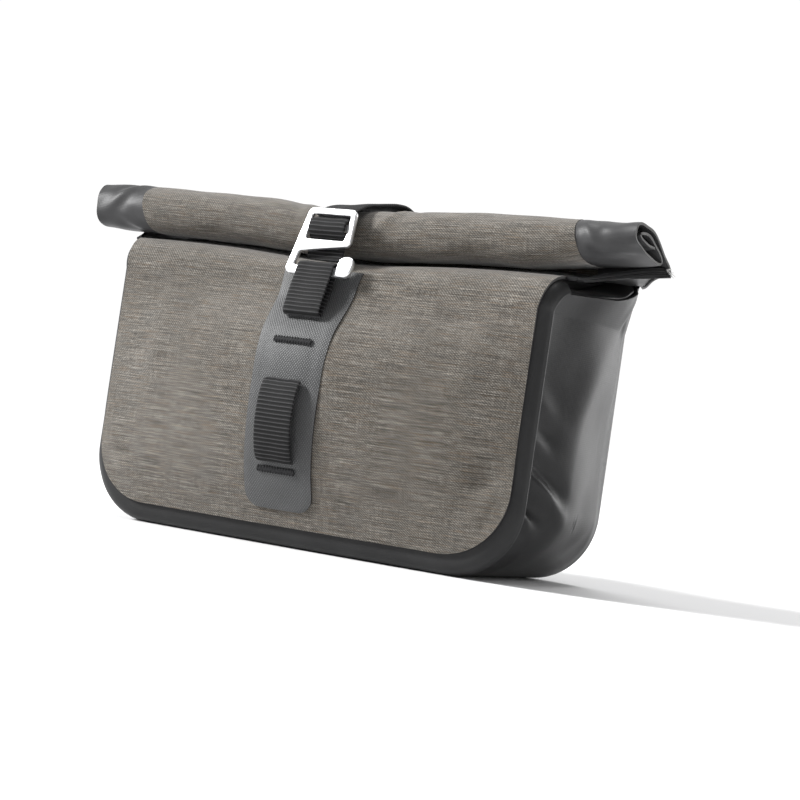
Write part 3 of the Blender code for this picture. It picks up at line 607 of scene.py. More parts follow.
def finished(name, mesh, surfaces, node):
    """Puts a mesh in the scene as a piece that rides on the bag and stands for a node."""
    mesh.shade_smooth()
    piece = bpy.data.objects.new(name, mesh)
    bpy.context.collection.objects.link(piece)
    for surface in surfaces:
        mesh.materials.append(surface)
    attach(piece, "root")
    if node:
        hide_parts(node)
    return piece


def mesh_of(name, points, faces, uv=None):
    """Mesh from points (n, 3) in millimetres and faces; uv holds millimetres for each point."""
    points = np.asarray(points, float) - np.array([0.0, FRAME_SHIFT, 0.0])
    mesh = bpy.data.meshes.new(name)
    mesh.from_pydata((points * MM).tolist(), [], [tuple(face) for face in faces])
    if uv is not None:
        corners = np.empty(len(mesh.loops), dtype=np.int32)
        mesh.loops.foreach_get("vertex_index", corners)
        layer = mesh.uv_layers.new(name="cloth")
        layer.data.foreach_set("uv", (np.asarray(uv)[corners] / 100.0).ravel())
    return mesh


def grid_faces(rows, columns, flip=False, wrap=False):
    """Quads of a grid whose points are numbered row by row; wrap joins the last column to the first."""
    row, column = np.meshgrid(np.arange(rows - 1), np.arange(columns if wrap else columns - 1), indexing="ij")
    after = (column + 1) % columns
    quads = np.stack([row * columns + column, (row + 1) * columns + column,
                      (row + 1) * columns + after, row * columns + after], -1).reshape(-1, 4)
    return quads[:, ::-1] if flip else quads


def cloth(name, points, uv, thickness, surface, edge, node=None, flip=False):
    """Cloth wall: a grid of points (rows, columns, 3), thickened inwards, with its own cut edge."""
    rows, columns, _ = points.shape
    mesh = mesh_of(name, points.reshape(-1, 3), grid_faces(rows, columns, flip), uv.reshape(-1, 2))
    ends = np.empty(len(mesh.edges) * 2, dtype=np.int32)
    mesh.edges.foreach_get("vertices", ends)
    row, column = np.divmod(ends.reshape(-1, 2), columns)
    border = np.zeros(len(row), bool)
    for place, last in ((row, rows - 1), (column, columns - 1)):
        border |= (place == 0).all(1) | (place == last).all(1)
    mesh.attributes.new("sharp_edge", "BOOLEAN", "EDGE").data.foreach_set("value", border)
    piece = finished(name, mesh, [surface, edge], node)
    wall = piece.modifiers.new("wall", "SOLIDIFY")
    wall.thickness = thickness * MM
    wall.offset = -1.0
    wall.use_quality_normals = True
    wall.material_offset_rim = 1
    return piece


def webbing(name, path, width, surface, node, centre=0.0, thickness=WEBBING, closed=False, ribs=1.0,
            droop=0.0):
    """Ribbed webbing: a flat rounded profile carried along a (y, z) path.

    The profile is a flattened superellipse, and its thickness swells as a wave along the
    path, except in the smooth stripe down its middle.  A droop lowers one edge over the roll.
    """
    path, length = even_path(np.asarray(path, float), RIB_PITCH / 7)
    if closed:
        path, length = path[:-1], length[:-1]
        ahead = np.roll(path, -1, axis=0) - np.roll(path, 1, axis=0)
    else:
        ahead = np.gradient(path, axis=0)
    ahead /= np.linalg.norm(ahead, axis=1, keepdims=True)
    turn = np.linspace(0, math.tau, 44, endpoint=False)
    flat_x = np.sign(np.cos(turn)) * np.abs(np.cos(turn)) ** 0.30
    flat_t = np.sign(np.sin(turn)) * np.abs(np.sin(turn)) ** 0.42
    across = flat_x * width / 2
    stripe = bell(across / (width * 0.075), 4)
    phase = length[:, None] / RIB_PITCH + 0.5 * stripe
    swell = (0.5 + 0.5 * np.cos(math.tau * phase)) ** 2.6 * (1 - 0.75 * stripe)
    swell = swell * (1 - 0.8 * np.abs(flat_x) ** 8)
    half = thickness / 2 - RIB_RISE / 2 + RIB_RISE * swell * ribs
    lift = flat_t * half
    points = np.empty((len(path), len(turn), 3))
    points[:, :, 0] = centre + across
    points[:, :, 1] = path[:, 0:1] - ahead[:, 1:2] * lift
    points[:, :, 2] = path[:, 1:2] + ahead[:, 0:1] * lift
    points[:, :, 2] -= droop * bell((path[:, 0:1] - DROOP_PLACE) / DROOP_REACH) * (0.5 - across / width)
    uv = paired(across, length[:, None])
    rows, columns, _ = points.shape
    faces = (grid_faces(rows + closed, columns, flip=True, wrap=True) % (rows * columns)).tolist()
    if not closed:
        faces += [range(columns), range(rows * columns - 1, (rows - 1) * columns - 1, -1)]
    mesh = mesh_of(name, points.reshape(-1, 3), faces, uv.reshape(-1, 2))
    return finished(name, mesh, [surface], node)


def stitches(name, starts, ends, out, radius, surface, node=None):
    """Many stitches in one mesh: each a six-sided spindle from its start to its end, bowed outwards."""
    starts = np.asarray(starts, float)
    ends = np.asarray(ends, float)
    out = np.broadcast_to(np.asarray(out, float), starts.shape)
    share = np.array([0.0, 0.10, 0.35, 0.65, 0.90, 1.0])
    round_share = np.array([0.25, 0.8, 1.0, 1.0, 0.8, 0.25])
    along = ends - starts
    side = np.cross(along, out)
    side /= np.linalg.norm(side, axis=1, keepdims=True) + 1e-9
    up = np.cross(side, along)
    up /= np.linalg.norm(up, axis=1, keepdims=True) + 1e-9
    turn = np.linspace(0, math.tau, 6, endpoint=False)
    ring = np.cos(turn)[:, None] * side[:, None, :] + np.sin(turn)[:, None] * up[:, None, :]
    spine = starts[:, None, :] + share[:, None] * along[:, None, :]
    spine = spine + (np.sin(share * math.pi) * radius * 0.9)[:, None] * up[:, None, :]
    points = spine[:, :, None, :] + radius * round_share[:, None, None] * ring[:, None, :, :]
    count = len(starts)
    block = len(share) * len(turn)
    faces = grid_faces(len(share), len(turn), flip=True, wrap=True)
    faces = (faces[None] + np.arange(count)[:, None, None] * block).reshape(-1, 4).tolist()
    cap = np.arange(len(turn))
    firsts = (cap[None] + np.arange(count)[:, None] * block).tolist()
    lasts = (cap[None, ::-1] + np.arange(count)[:, None] * block + block - len(turn)).tolist()
    mesh = mesh_of(name, points.reshape(-1, 3), faces + firsts + lasts)
    return finished(name, mesh, [surface], node)


# ---- The bag's own surfaces

def bulge(x, z):
    """Fullness: the table over the height times a parabola across, less bell-shaped dents."""
    heights = np.array(FULL_HEIGHTS) * SHOULDER_HEIGHT
    out = BULGE * smooth(z, heights, FULL_SHARES) * unit(1 - (x / PANEL_HALF_WIDTH) ** 2)
    for row in DENTS:
        out = out - row.depth * bell(np.hypot(x - row.across, z - row.height) / row.radius)
    return out


def sag(x):
    """A bell across the width: how far the strap presses the top down."""
    return TOP_SAG * bell(x / SAG_HALF_WIDTH)


def roof_height(depth):
    """Straight from the shoulder to the neck and on to the rear edge."""
    return np.interp(depth, [SHOULDER_END_DEPTH, NECK_DEPTH, BODY_DEPTH],
                     [SHOULDER_END_HEIGHT, NECK_HEIGHT, REAR_HEIGHT])


def front_depth(x, z):
    """Depth of the front's outer face: plane, then shoulder arc, less the bulge.

    The sag lowers the shoulder, so its height is found by stepping towards it four times.
    """
    height = z
    for _ in range(4):
        turn = np.arcsin(np.clip((height - SHOULDER_HEIGHT) / SHOULDER_RADIUS, 0, math.sin(SHOULDER_TURN)))
        height = z + turn / SHOULDER_TURN * sag(x)
    return SHOULDER_RADIUS * (1 - np.cos(turn)) - bulge(x, height)


def on_front(x, z, lift):
    """Points at a distance from the front's outer face, measured square to its slope."""
    x, z = np.broadcast_arrays(np.asarray(x, float), np.asarray(z, float))
    slope = (front_depth(x, z + 1.0) - front_depth(x, z - 1.0)) / 2.0
    return np.stack([x, front_depth(x, z) - lift * np.sqrt(1 + slope ** 2), z], -1)


def row_length(points):
    """Length along the rows of a grid, measured down its middle column."""
    return running_length(points[:, points.shape[1] // 2])[:, None]


def cloth_uv(points, across):
    """The cloth's own coordinates: the way across and the length along the rows."""
    return paired(across, row_length(points))


def panel_width(corner, flare, count):
    """Places across a panel with arcs at its lower corners and a flared top, and how far inside they lie."""
    half = PANEL_HALF_WIDTH + SHOULDER_FLARE * flare
    half[:len(corner)] -= PANEL_CORNER * (1 - np.sin(corner))
    x = np.linspace(-1, 1, count) * half[:, None]
    return x, half[:, None] - np.abs(x)


def make_front_panel(surface, edge):
    """Lower corners as arcs, a straight stretch, the shoulder's arc and the roof up to the neck."""
    corner = np.linspace(0, math.pi / 2, 24)
    turn = np.linspace(0, SHOULDER_TURN, 20)[1:]
    straight = np.linspace(PANEL_BOTTOM_INSET + PANEL_CORNER, SHOULDER_HEIGHT, 84)[1:]
    roof = np.linspace(SHOULDER_END_DEPTH, NECK_DEPTH - NECK_SLIT / 2, 40)[1:]
    depth = chain(0 * corner, 0 * straight, SHOULDER_RADIUS * (1 - np.cos(turn)), roof)
    height = chain(PANEL_BOTTOM_INSET + PANEL_CORNER * (1 - np.cos(corner)), straight,
                             SHOULDER_HEIGHT + SHOULDER_RADIUS * np.sin(turn), roof_height(roof))
    sagging = chain(0 * corner, 0 * straight, turn / SHOULDER_TURN, 1 + 0 * roof)
    x, inside = panel_width(corner, sagging, 165)
    full = chain(1 + 0 * corner, 1 + 0 * straight, 1 + 0 * turn, 0 * roof)
    points = np.stack([x, depth[:, None] - full[:, None] * bulge(x, height[:, None]),
                       height[:, None] - sagging[:, None] * sag(x)], -1)
    uv = cloth_uv(points, x)
    rim = unit(inside / 9.0) * unit(height[:, None] / 30.0 - 0.32)
    low = unit(1 - sagging[:, None] * 1.2)
    relief = ripple(x, height[:, None], 62.0, 3) * 0.45 + creased(x, height[:, None], FRONT_CREASES)
    return cloth("front_panel_cloth", pushed(points, -relief * rim * low), uv, PANEL_CLOTH, surface, edge,
                 "front_panel", flip=True)


def make_back_panel(surface, edge):
    """Flat back with arcs at its lower corners, a rounded top edge and a roof to the neck."""
    corner = np.linspace(0, math.pi / 2, 14)
    top_edge = REAR_HEIGHT - REAR_TOP_RADIUS
    straight = np.linspace(BACK_INSET + PANEL_CORNER, top_edge, 40)[1:]
    turn = np.linspace(0, math.pi / 2, 10)[1:]
    flat_end = BODY_DEPTH - REAR_TOP_RADIUS
    roof = np.linspace(0, 1, 18)[1:]
    neck = NECK_DEPTH + NECK_SLIT / 2
    depth = chain(0 * corner + BODY_DEPTH, 0 * straight + BODY_DEPTH,
                            flat_end + REAR_TOP_RADIUS * np.cos(turn), flat_end + (neck - flat_end) * roof)
    height = chain(BACK_INSET + PANEL_CORNER * (1 - np.cos(corner)), straight,
                             top_edge + REAR_TOP_RADIUS * np.sin(turn),
                             REAR_HEIGHT + (roof_height(neck) - REAR_HEIGHT) * roof)
    sagging = chain(0 * corner, 0 * straight, 0 * turn, roof)
    flare = chain(0 * corner, 0 * straight, np.sin(turn), 1 + 0 * roof)
    x, inside = panel_width(corner, flare, 121)
    points = np.stack([x, np.broadcast_to(depth[:, None], x.shape),
                       height[:, None] - sagging[:, None] * sag(x)], -1)
    rim = unit(inside / 12.0) * unit(height[:, None] / 20.0 - 0.3)
    relief = (ripple(x, height[:, None], 70.0, 8) * 0.35 - 0.5) * rim
    return cloth("back_panel_cloth", pushed(points, relief), cloth_uv(points, x), COATED_CLOTH, surface, edge,
                 "back_panel")


# Columns of the gusset's section, and the one down which the strip's length is measured
FLANGE_COLUMNS = 7
ARC_COLUMNS = 15
SIDE_COLUMNS = 72
LENGTH_COLUMN = 40


def gusset_section(bottom):
    """Inset and depth of the gusset's section: flange, front arc, side, rear arc and flange.

    bottom is 1 under the bag and 0 up its sides.
    """
    front = PANEL_CLOTH + GAP + FACET_ROOM
    rear = BODY_DEPTH - COATED_CLOTH - GAP
    edge = PANEL_SIDE_INSET + (PANEL_BOTTOM_INSET - PANEL_SIDE_INSET) * bottom
    flange = np.linspace(1, 0, FLANGE_COLUMNS, endpoint=False)
    turn = np.linspace(0, math.pi / 2, ARC_COLUMNS)
    side = np.linspace(0, 1, SIDE_COLUMNS + 2)[1:-1]
    start = front + FRONT_EDGE_RADIUS
    stop = rear - REAR_EDGE_RADIUS
    rear_turn = np.linspace(0, math.pi / 2, 11)
    rear_flange = np.linspace(0, 1, 6)[1:]
    none = 0 * bottom
    inset = np.concatenate([
        FRONT_EDGE_RADIUS + (edge + FLANGE_WIDTH - FRONT_EDGE_RADIUS) * flange,
        none + FRONT_EDGE_RADIUS * (1 - np.sin(turn)),
        none + 0 * side,
        none + REAR_EDGE_RADIUS * (1 - np.cos(rear_turn)),
        none + REAR_EDGE_RADIUS + (BACK_INSET + FLANGE_WIDTH - REAR_EDGE_RADIUS) * rear_flange], 1)
    depth = np.concatenate([
        none + front + 0 * flange,
        none + front + FRONT_EDGE_RADIUS * (1 - np.cos(turn)),
        none + start + (stop - start) * side,
        none + stop + REAR_EDGE_RADIUS * np.sin(rear_turn),
        none + rear + 0 * rear_flange], 1)
    return inset, depth


def weld(depth):
    """Low ridge along the edge of the welded flange."""
    return WELD_RISE * bell((depth - WELD_DEPTH) / WELD_WIDTH, 4)


def side_relief(depth, height, creases, seed):
    """How far the side stands out: it rises from a hollow at the front to a slanting crest,
    falls slowly behind it, has a waist half way up, and is creased near its lower front.
    """
    crest = np.interp(height, [0, 40, 80, 140], [40, 44, 52, 74])
    ahead = unit((depth - WELD_DEPTH) / (crest - WELD_DEPTH))
    behind = unit((depth - crest) / (BODY_DEPTH - 6.0 - crest))
    start = eased(unit((depth - WELD_DEPTH) / 7.0))
    rise = -HOLLOW_FRONT * start * (1 - eased(ahead)) + CREST_RISE * (eased(ahead) - 0.6 * eased(behind))
    waist = WAIST * bell((height - 70) / 24) * unit((depth - 34) / 45)
    rear = unit((BODY_DEPTH - 5.0 - depth) / 12.0)
    fine = (ripple(depth, height, 34.0, seed) * 0.30 + creased(depth, height, creases)) * start * rear
    return (rise - waist) * eased(rear) + fine + weld(depth)


def gusset_half(creases, seed):
    """Rows of one half: the bottom, its corner, the side and the side's shoulder up to the lip."""
    straight = BODY_HALF_WIDTH - BODY_CORNER
    turn = np.radians(np.linspace(0, 90, 30))
    flat = np.linspace(0, straight, 34)[:-1]
    side = np.linspace(BODY_CORNER, SHOULDER_HEIGHT, 78)[1:]
    x = chain(flat, straight + BODY_CORNER * np.sin(turn), 0 * side + BODY_HALF_WIDTH)[:, None]
    z = chain(0 * flat, BODY_CORNER * (1 - np.cos(turn)), side)[:, None]
    out_x = chain(0 * flat, np.sin(turn), 1 + 0 * side)[:, None]
    out_z = chain(1 + 0 * flat, np.cos(turn), 0 * side)[:, None]
    bottom = chain(1 + 0 * flat, np.cos(turn) ** 2, 0 * side)[:, None]
    inset, depth = gusset_section(bottom)
    climb = chain(flat - straight, BODY_CORNER * turn, side + BODY_CORNER * (math.pi / 2 - 1))[:, None]
    relief = side_relief(depth, z, creases, seed) * (1 - bottom)
    relief = relief + bottom * (ripple(depth, climb, 48.0, seed + 4) * 0.12 + weld(depth))
    inset = inset - relief
    points = np.stack([x - out_x * inset, depth + 0 * x, z + out_z * np.maximum(inset, 0.0)], -1)
    fade = np.interp(depth, [0, FRONT_EDGE_RADIUS, BODY_DEPTH / 2], [1, 1, 0])
    points[:, :, 1] -= bulge(points[:, :, 0], points[:, :, 2]) * fade
    turn = np.linspace(0, SHOULDER_TURN, 24)[1:, None]
    share = turn / SHOULDER_TURN
    inset, depth = gusset_section(0 * turn)
    first = FLANGE_COLUMNS + ARC_COLUMNS
    y = SHOULDER_RADIUS * (1 - np.cos(turn)) + depth * np.cos(turn)
    up = SHOULDER_HEIGHT + SHOULDER_RADIUS * np.sin(turn) - depth * np.sin(turn)
    across = unit((depth - depth[:, first - 1:first]) / (depth[:, -1:] - depth[:, first - 1:first]))
    rear_height = SHOULDER_HEIGHT + (LIP_REAR_HEIGHT - SHOULDER_HEIGHT) * share
    behind = np.arange(depth.shape[1])[None] >= first
    y = np.where(behind, y[:, first - 1:first] + (depth[:, -1:] - y[:, first - 1:first]) * across, y)
    up = np.where(behind, up[:, first - 1:first] + (rear_height - up[:, first - 1:first]) * across, up)
    up = up + LIP_CORNER_RISE * share * unit((y - 58) / 42) ** 1.6
    relief = side_relief(np.where(behind, y, depth), SHOULDER_HEIGHT + 16 * share, creases, seed)
    top = np.stack([BODY_HALF_WIDTH + SHOULDER_FLARE * share - inset + relief, y, up], -1)
    return chain(points, top)


def make_gusset(surface, edge):
    """One strip down a side, under the bag and up the other side."""
    right = gusset_half(RIGHT_SIDE_CREASES, 5)
    left = gusset_half(LEFT_SIDE_CREASES, 21)[:0:-1] * np.array([-1, 1, 1])
    points = chain(left, right)
    uv = paired(running_length(points[len(left)]), running_length(points[:, LENGTH_COLUMN])[:, None])
    return cloth("gusset_cloth", points, uv, COATED_CLOTH, surface, edge, "gusset", flip=True)


def make_corner_fold(side, label, creases, surface, edge):
    """Folded corner of the neck: floor of the pleat, crease, underside, tip and top as one curve."""
    lip = gusset_half(creases, 5)[-1, FLANGE_COLUMNS + ARC_COLUMNS - 1:]
    depth = np.linspace(WING_START, BODY_DEPTH - WING_END_CLEARANCE, 64)
    order = np.argsort(lip[:, 1])
    start = np.interp(depth, lip[order, 1], lip[order, 0]) - WING_TUCK
    level = np.interp(depth, lip[order, 1], lip[order, 2])
    base = BODY_HALF_WIDTH + SHOULDER_FLARE
    tip = smooth(depth, [depth[0], NECK_DEPTH - 14, NECK_DEPTH, NECK_DEPTH + 12, depth[-1]],
                 base + np.array([2 * WING_FOLD, WING_REACH * 0.68, WING_REACH, WING_REACH * 0.60,
                                  2 * WING_FOLD]))
    top = roof_height(depth)
    low = top - 2 * WING_FOLD
    floor = level + LIP_RISE
    bow = np.sin(math.pi * np.linspace(0, 1, len(depth)))
    crease = base - PLEAT_REACH * (0.5 + 0.4 * bow)
    middle = top - WING_FOLD
    rows = [
        (start, level - LIP_RISE / 4),
        (start - WING_FOLD, level + LIP_RISE / 2),
        ((start + crease) / 2, floor),
        (crease + WING_FOLD, floor),
        (crease, (floor + low) / 2),
        (crease + WING_FOLD, low),
        ((crease + tip) / 2, low),
        (tip - WING_FOLD, low),
        (tip - 0.3 * WING_FOLD, middle - 0.7 * WING_FOLD),
        (tip, middle),
        (tip - 0.3 * WING_FOLD, middle + 0.7 * WING_FOLD),
        (tip - WING_FOLD, top),
        ((tip + PANEL_TOP_HALF_WIDTH) / 2, top),
        (np.full_like(depth, PANEL_TOP_HALF_WIDTH + 2 * GAP), top),
    ]
    points = smooth_path([np.stack([x, depth, z], 1) for x, z in rows], 7)
    length = row_length(points)
    relief = ripple(points[:, :, 1], length, 22.0, 31 + side) * 0.30
    outward = eased(unit((points[:, :, 0] - base) / WING_REACH))
    points[:, :, 2] += relief * (1 - 0.7 * outward) + WING_LIFT * outward
    points[:, :, 0] *= side
    uv = paired(points[:, :, 1], length)
    return cloth(f"corner_fold_{label}_cloth", points, uv, COATED_CLOTH, surface, edge,
                 f"corner_fold_{label}", flip=side > 0)


def seam_place(share, side):
    """Where the middle cloth of the roll ends, at each share of the spiral's length.

    The seam bows: it runs outwards down the front, more on the left than on the right.
    """
    knots = [0.0, 0.14, 0.22, 0.31, 0.40, 0.50, 1.0]
    right = [117.0, 117.5, 119.5, 121.5, 125.0, 126.5, 122.0]
    left = [116.0, 117.0, 119.0, 122.0, 118.0, 111.0, 117.0]
    return smooth(share, knots, right if side > 0 else left)


def left_end_place(share):
    """Where the left end of the roll is cut: its lower front edge lies a little further in."""
    knots = [0.0, 0.18, 0.28, 0.42, 0.52, 1.0]
    return smooth(share, knots, [1.5, 0.0, 0.0, 4.0, 5.5, 3.0]) - ROLL_HALF_LENGTH


def roll_grid(place):
    """Spiral sheet at places (spiral points, stations) across the width.

    At each place the spiral's knots go from the round middle to the flattened end.
    """
    middle, right, left = np.split(smooth_path(SPIRAL, SPIRAL_STEPS)[:, None, :], 3, axis=2)
    end = np.where(place[..., None] > 0, right, left)
    flat = unit((np.abs(place) - FLATTEN_START) / (ROLL_HALF_LENGTH - FLATTEN_START))[..., None] ** 1.6
    shares = middle * (1 - flat) + end * flat
    return np.stack([place, ROLL_FRONT + ROLL_DEPTH * shares[..., 0],
                     ROLL_BASE + ROLL_HEIGHT * shares[..., 1] - sag(place)], -1)


def make_roll(label, start, stop, count, seed, surface, edge, slot, lift):
    """A stretch of the rolled mouth between two lines across the spiral."""
    turns = len(smooth_path(SPIRAL, SPIRAL_STEPS))
    share = np.linspace(0, 1, turns)[:, None]
    station = np.linspace(0, 1, count)[None]
    place = start(share) * (1 - station) + stop(share) * station
    points = roll_grid(place)
    length = row_length(points)
    outer = unit((0.62 - share) / 0.1) * unit(share / 0.06)
    relief = (ripple(place, length, 30.0, 13) * 0.28 + creased(place, length, ROLL_CREASES)) * outer
    pressed = 0.9 * bell((np.abs(place) - 3.0) / 11.0) * outer
    edge_wave = ripple(place, length, 16.0, seed) * 0.45 * unit((np.abs(place) - 128) / 22)
    points = pushed(points, relief + lift - pressed + edge_wave)
    uv = paired(place, -length)
    return cloth(f"roll_{label}_cloth", points, uv, ROLL_CLOTH, surface, edge, f"roll_{label}")


def make_patch(surface, edge):
    """Welded patch with arcs at its lower corners, a little wider where it goes under the roll."""
    corner = np.linspace(0, math.pi / 2, 12)
    share = np.linspace(0, 1, 84)[1:]
    low = PATCH_BOTTOM + PATCH_CORNER
    height = chain(PATCH_BOTTOM + PATCH_CORNER * (1 - np.cos(corner)), low + (PATCH_TOP - low) * share)
    half = chain(PATCH_HALF_WIDTH - PATCH_CORNER * (1 - np.sin(corner)),
                           PATCH_HALF_WIDTH + PATCH_TOP_SPREAD * share ** 4)
    x = np.linspace(-1, 1, 33) * half[:, None]
    z = np.broadcast_to(height[:, None], x.shape)
    near_edge = unit((half[:, None] - np.abs(x)) / 3.0)
    under_loop = 0.5 * bell(x / 11.0, 6) * bell((z - 66.0) / 38.0, 6)
    points = on_front(x, z, PATCH_FACE - 0.35 * (1 - near_edge) + under_loop)
    return cloth("front_patch_film", points, cloth_uv(points, x), PATCH_CLOTH, surface, edge,
                 "front_patch", flip=True)


def make_front_loop(surface):
    """Webbing that comes out of the patch, stands off as a loop and goes in again."""
    share = np.linspace(0, 1, 60)
    height = FRONT_LOOP_TOP + (FRONT_LOOP_BOTTOM - FRONT_LOOP_TOP) * share
    lift = PATCH_FACE + 0.55 + WEBBING / 2 + FRONT_LOOP_RISE * np.sin(math.pi * share) ** 0.45
    path = on_front(0 * height, height, lift)[:, 1:]
    return webbing("front_loop_webbing", path, WEBBING_WIDTH, surface, "front_loop")


def hook_to_world(down, back):
    """Depth and height of a point of the tilted hook, given down from its top and back from its face."""
    return np.array([HOOK_FRONT - down * math.sin(HOOK_TILT) + back * math.cos(HOOK_TILT),
                     HOOK_TOP - down * math.cos(HOOK_TILT) - back * math.sin(HOOK_TILT)])


def rounded(corners, steps):
    """A closed outline through corners (x, y, radius), each turned with an arc."""
    outline = []
    count = len(corners)
    for index in range(count):
        here = np.array(corners[index][:2], float)
        before = np.array(corners[index - 1][:2], float) - here
        after = np.array(corners[(index + 1) % count][:2], float) - here
        before /= np.linalg.norm(before)
        after /= np.linalg.norm(after)
        half = math.acos(np.clip(before @ after, -1, 1)) / 2
        radius = corners[index][2]
        centre = here + (before + after) / np.linalg.norm(before + after) * radius / math.sin(half)
        first = here + before * radius / math.tan(half) - centre
        last = here + after * radius / math.tan(half) - centre
        mix = first + (last - first) * np.linspace(0, 1, steps)[:, None]
        outline.append(centre + mix / np.linalg.norm(mix, axis=1, keepdims=True) * radius)
    return np.concatenate(outline)


def make_hook(surface):
    """Flat hook with rounded edges: a frame with two slots and an open arm that ends in a knob."""
    half = HOOK_WIDTH / 2
    inner = WEBBING_WIDTH / 2 + HOOK_SIDE_ROOM
    frame_bottom = BAR_TOP - 2 * (HOOK_LENGTH - BAR_TOP)
    outer = rounded([
        (-half, 0, 3.5),
        (half, 0, 3.5),
        (half + 1.6, frame_bottom - 2.2, 3.0),
        (-half + 1.0, frame_bottom + 1.8, 1.2),
        (-half, BAR_TOP, 1.0),
        (inner, BAR_TOP, 0.5),
        (inner + 0.8, frame_bottom + 3.4, KNOB_TURN * 0.9),
        (inner + KNOB_WIDTH, frame_bottom + 2.6, KNOB_TURN),
        (inner + KNOB_WIDTH - 1.4, HOOK_LENGTH, KNOB_TURN),
        (-half - 4.6, HOOK_LENGTH, 3.0),
    ], 12)
    slots = [rounded([(-inner, top, 1.0), (inner, top, 1.0), (inner, end, 1.0), (-inner, end, 1.0)], 6)[::-1]
             for top, end in ((UPPER_SLOT, STRAP_BAR), (LOWER_SLOT, LOWER_SLOT_END))]
    flat = bpy.data.curves.new("hook_outline", "CURVE")
    flat.dimensions = "2D"
    flat.fill_mode = "BOTH"
    flat.extrude = HOOK_THICKNESS / 2 - HOOK_EDGE
    flat.bevel_depth = HOOK_EDGE
    flat.bevel_resolution = 4
    flat.offset = -HOOK_EDGE
    for outline in (outer, *slots):
        spline = flat.splines.new("POLY")
        spline.points.add(len(outline) - 1)
        flat_row = np.zeros(len(outline))
        spline.points.foreach_set("co", np.column_stack([outline * [1, -1], flat_row, flat_row + 1]).ravel())
        spline.use_cyclic_u = True
    maker = bpy.data.objects.new("hook_maker", flat)
    made = bpy.data.meshes.new_from_object(maker)
    bpy.data.objects.remove(maker)
    places = np.empty(len(made.vertices) * 3)
    made.vertices.foreach_get("co", places)
    x, up, front = places.reshape(-1, 3).T
    y, z = hook_to_world(-up, HOOK_THICKNESS / 2 - front)
    faces = [tuple(face.vertices) for face in made.polygons]
    mesh = mesh_of("g_hook_metal", np.stack([x, y, z], 1), faces)
    bpy.data.meshes.remove(made)
    return finished("g_hook_metal", mesh, [surface], "g_hook")


def make_hook_loop(surface):
    """Webbing from the patch, up, round the hook's arm and down again."""
    clear = GAP + WEBBING / 2
    foot = float(front_depth(0.0, HOOK_LOOP_BOTTOM)) - PATCH_FACE * 1.3 - clear
    knots = [(foot, HOOK_LOOP_BOTTOM), hook_to_world(HOOK_LENGTH, HOOK_THICKNESS + clear)]
    turn_radius = HOOK_THICKNESS / 2 + clear
    for turn in np.radians([0, 45, 90, 135, 180]):
        knots.append(hook_to_world(BAR_TOP + 0.6 - turn_radius * math.sin(turn),
                                   HOOK_THICKNESS / 2 + turn_radius * math.cos(turn)))
    knots.append(hook_to_world(HOOK_LENGTH, -clear - GAP))
    knots.append((foot - WEBBING - 2 * GAP, HOOK_LOOP_BOTTOM + 4))
    knots.append((foot - WEBBING * 0.7, HOOK_LOOP_BOTTOM))
    return webbing("hook_loop_webbing", smooth_path(knots, 12), WEBBING_WIDTH, surface, "hook_loop")


def make_closure_strap(surface):
    """Strap from the back over the roll and through the hook, with a short free tail behind it."""
    clear = GAP + WEBBING / 2
    behind = HOOK_THICKNESS + clear + 0.6
    knots = [hook_to_world(down, back) for down, back in (
        (LOWER_SLOT_END + STRAP_TAIL, behind + 0.6),
        (LOWER_SLOT_END + 1.4, behind),
        (LOWER_SLOT_END - 1.4, HOOK_THICKNESS + 0.3),
        (LOWER_SLOT + 2.2, HOOK_THICKNESS * 0.25),
        (LOWER_SLOT + 0.6, -clear - 0.1),
        ((STRAP_BAR + LOWER_SLOT) / 2, -clear - 0.5),
        (STRAP_BAR - 0.4, -clear - 0.1),
        (STRAP_BAR - 2.0, HOOK_THICKNESS * 0.16),
        (UPPER_SLOT + 0.8, HOOK_THICKNESS + 0.9),
        (UPPER_SLOT - 1.4, behind + 0.3),
        (-0.5, behind + 0.6),
    )]
    for depth, height in STRAP_ROUTE:
        knots.append((depth * BODY_DEPTH, HOOK_TOP + (STRAP_PEAK - HOOK_TOP) * height))
    outside = BODY_DEPTH + clear
    knots.append((BODY_DEPTH - 1.5, REAR_HEIGHT + 3.0))
    knots.append((outside + 0.2, REAR_HEIGHT - REAR_TOP_RADIUS + 2.0))
    start = REAR_HEIGHT - REAR_TOP_RADIUS - 3.0
    for share in np.linspace(0, 1, 4):
        knots.append((outside, start + (STRAP_FOOT - start) * share))
    return webbing("closure_strap_webbing", smooth_path(knots, 10), WEBBING_WIDTH, surface, "closure_strap",
                   droop=STRAP_DROOP)


def make_bar_loop(label, centre, surface):
    """Closed band on the back: flat against the panel, then round for the handlebar."""
    radius = BAR_LOOP_BORE / 2 + BAR_LOOP_WALL / 2
    start = BODY_DEPTH + GAP + BAR_LOOP_WALL / 2
    middle = BODY_DEPTH + GAP + BAR_LOOP_WALL + BAR_LOOP_BORE / 2
    corner = np.radians(np.linspace(0, 90, 8))
    turn = np.radians(np.linspace(90, -90, 40))
    low = np.stack([start + BAR_LOOP_CORNER * (1 - np.sin(corner)),
                    BAR_LOOP_HEIGHT - radius + BAR_LOOP_CORNER * (1 - np.cos(corner))], 1)
    high = low[::-1] * [1, -1] + [0, 2 * BAR_LOOP_HEIGHT]
    bend = np.stack([middle + radius * np.cos(turn), BAR_LOOP_HEIGHT + radius * np.sin(turn)], 1)
    path = chain(low, high, bend, low[:1])
    return webbing(f"handlebar_loop_{label}_webbing", path, BAR_LOOP_WIDTH, surface,
                   f"handlebar_loop_{label}", centre, BAR_LOOP_WALL, closed=True, ribs=0.8)


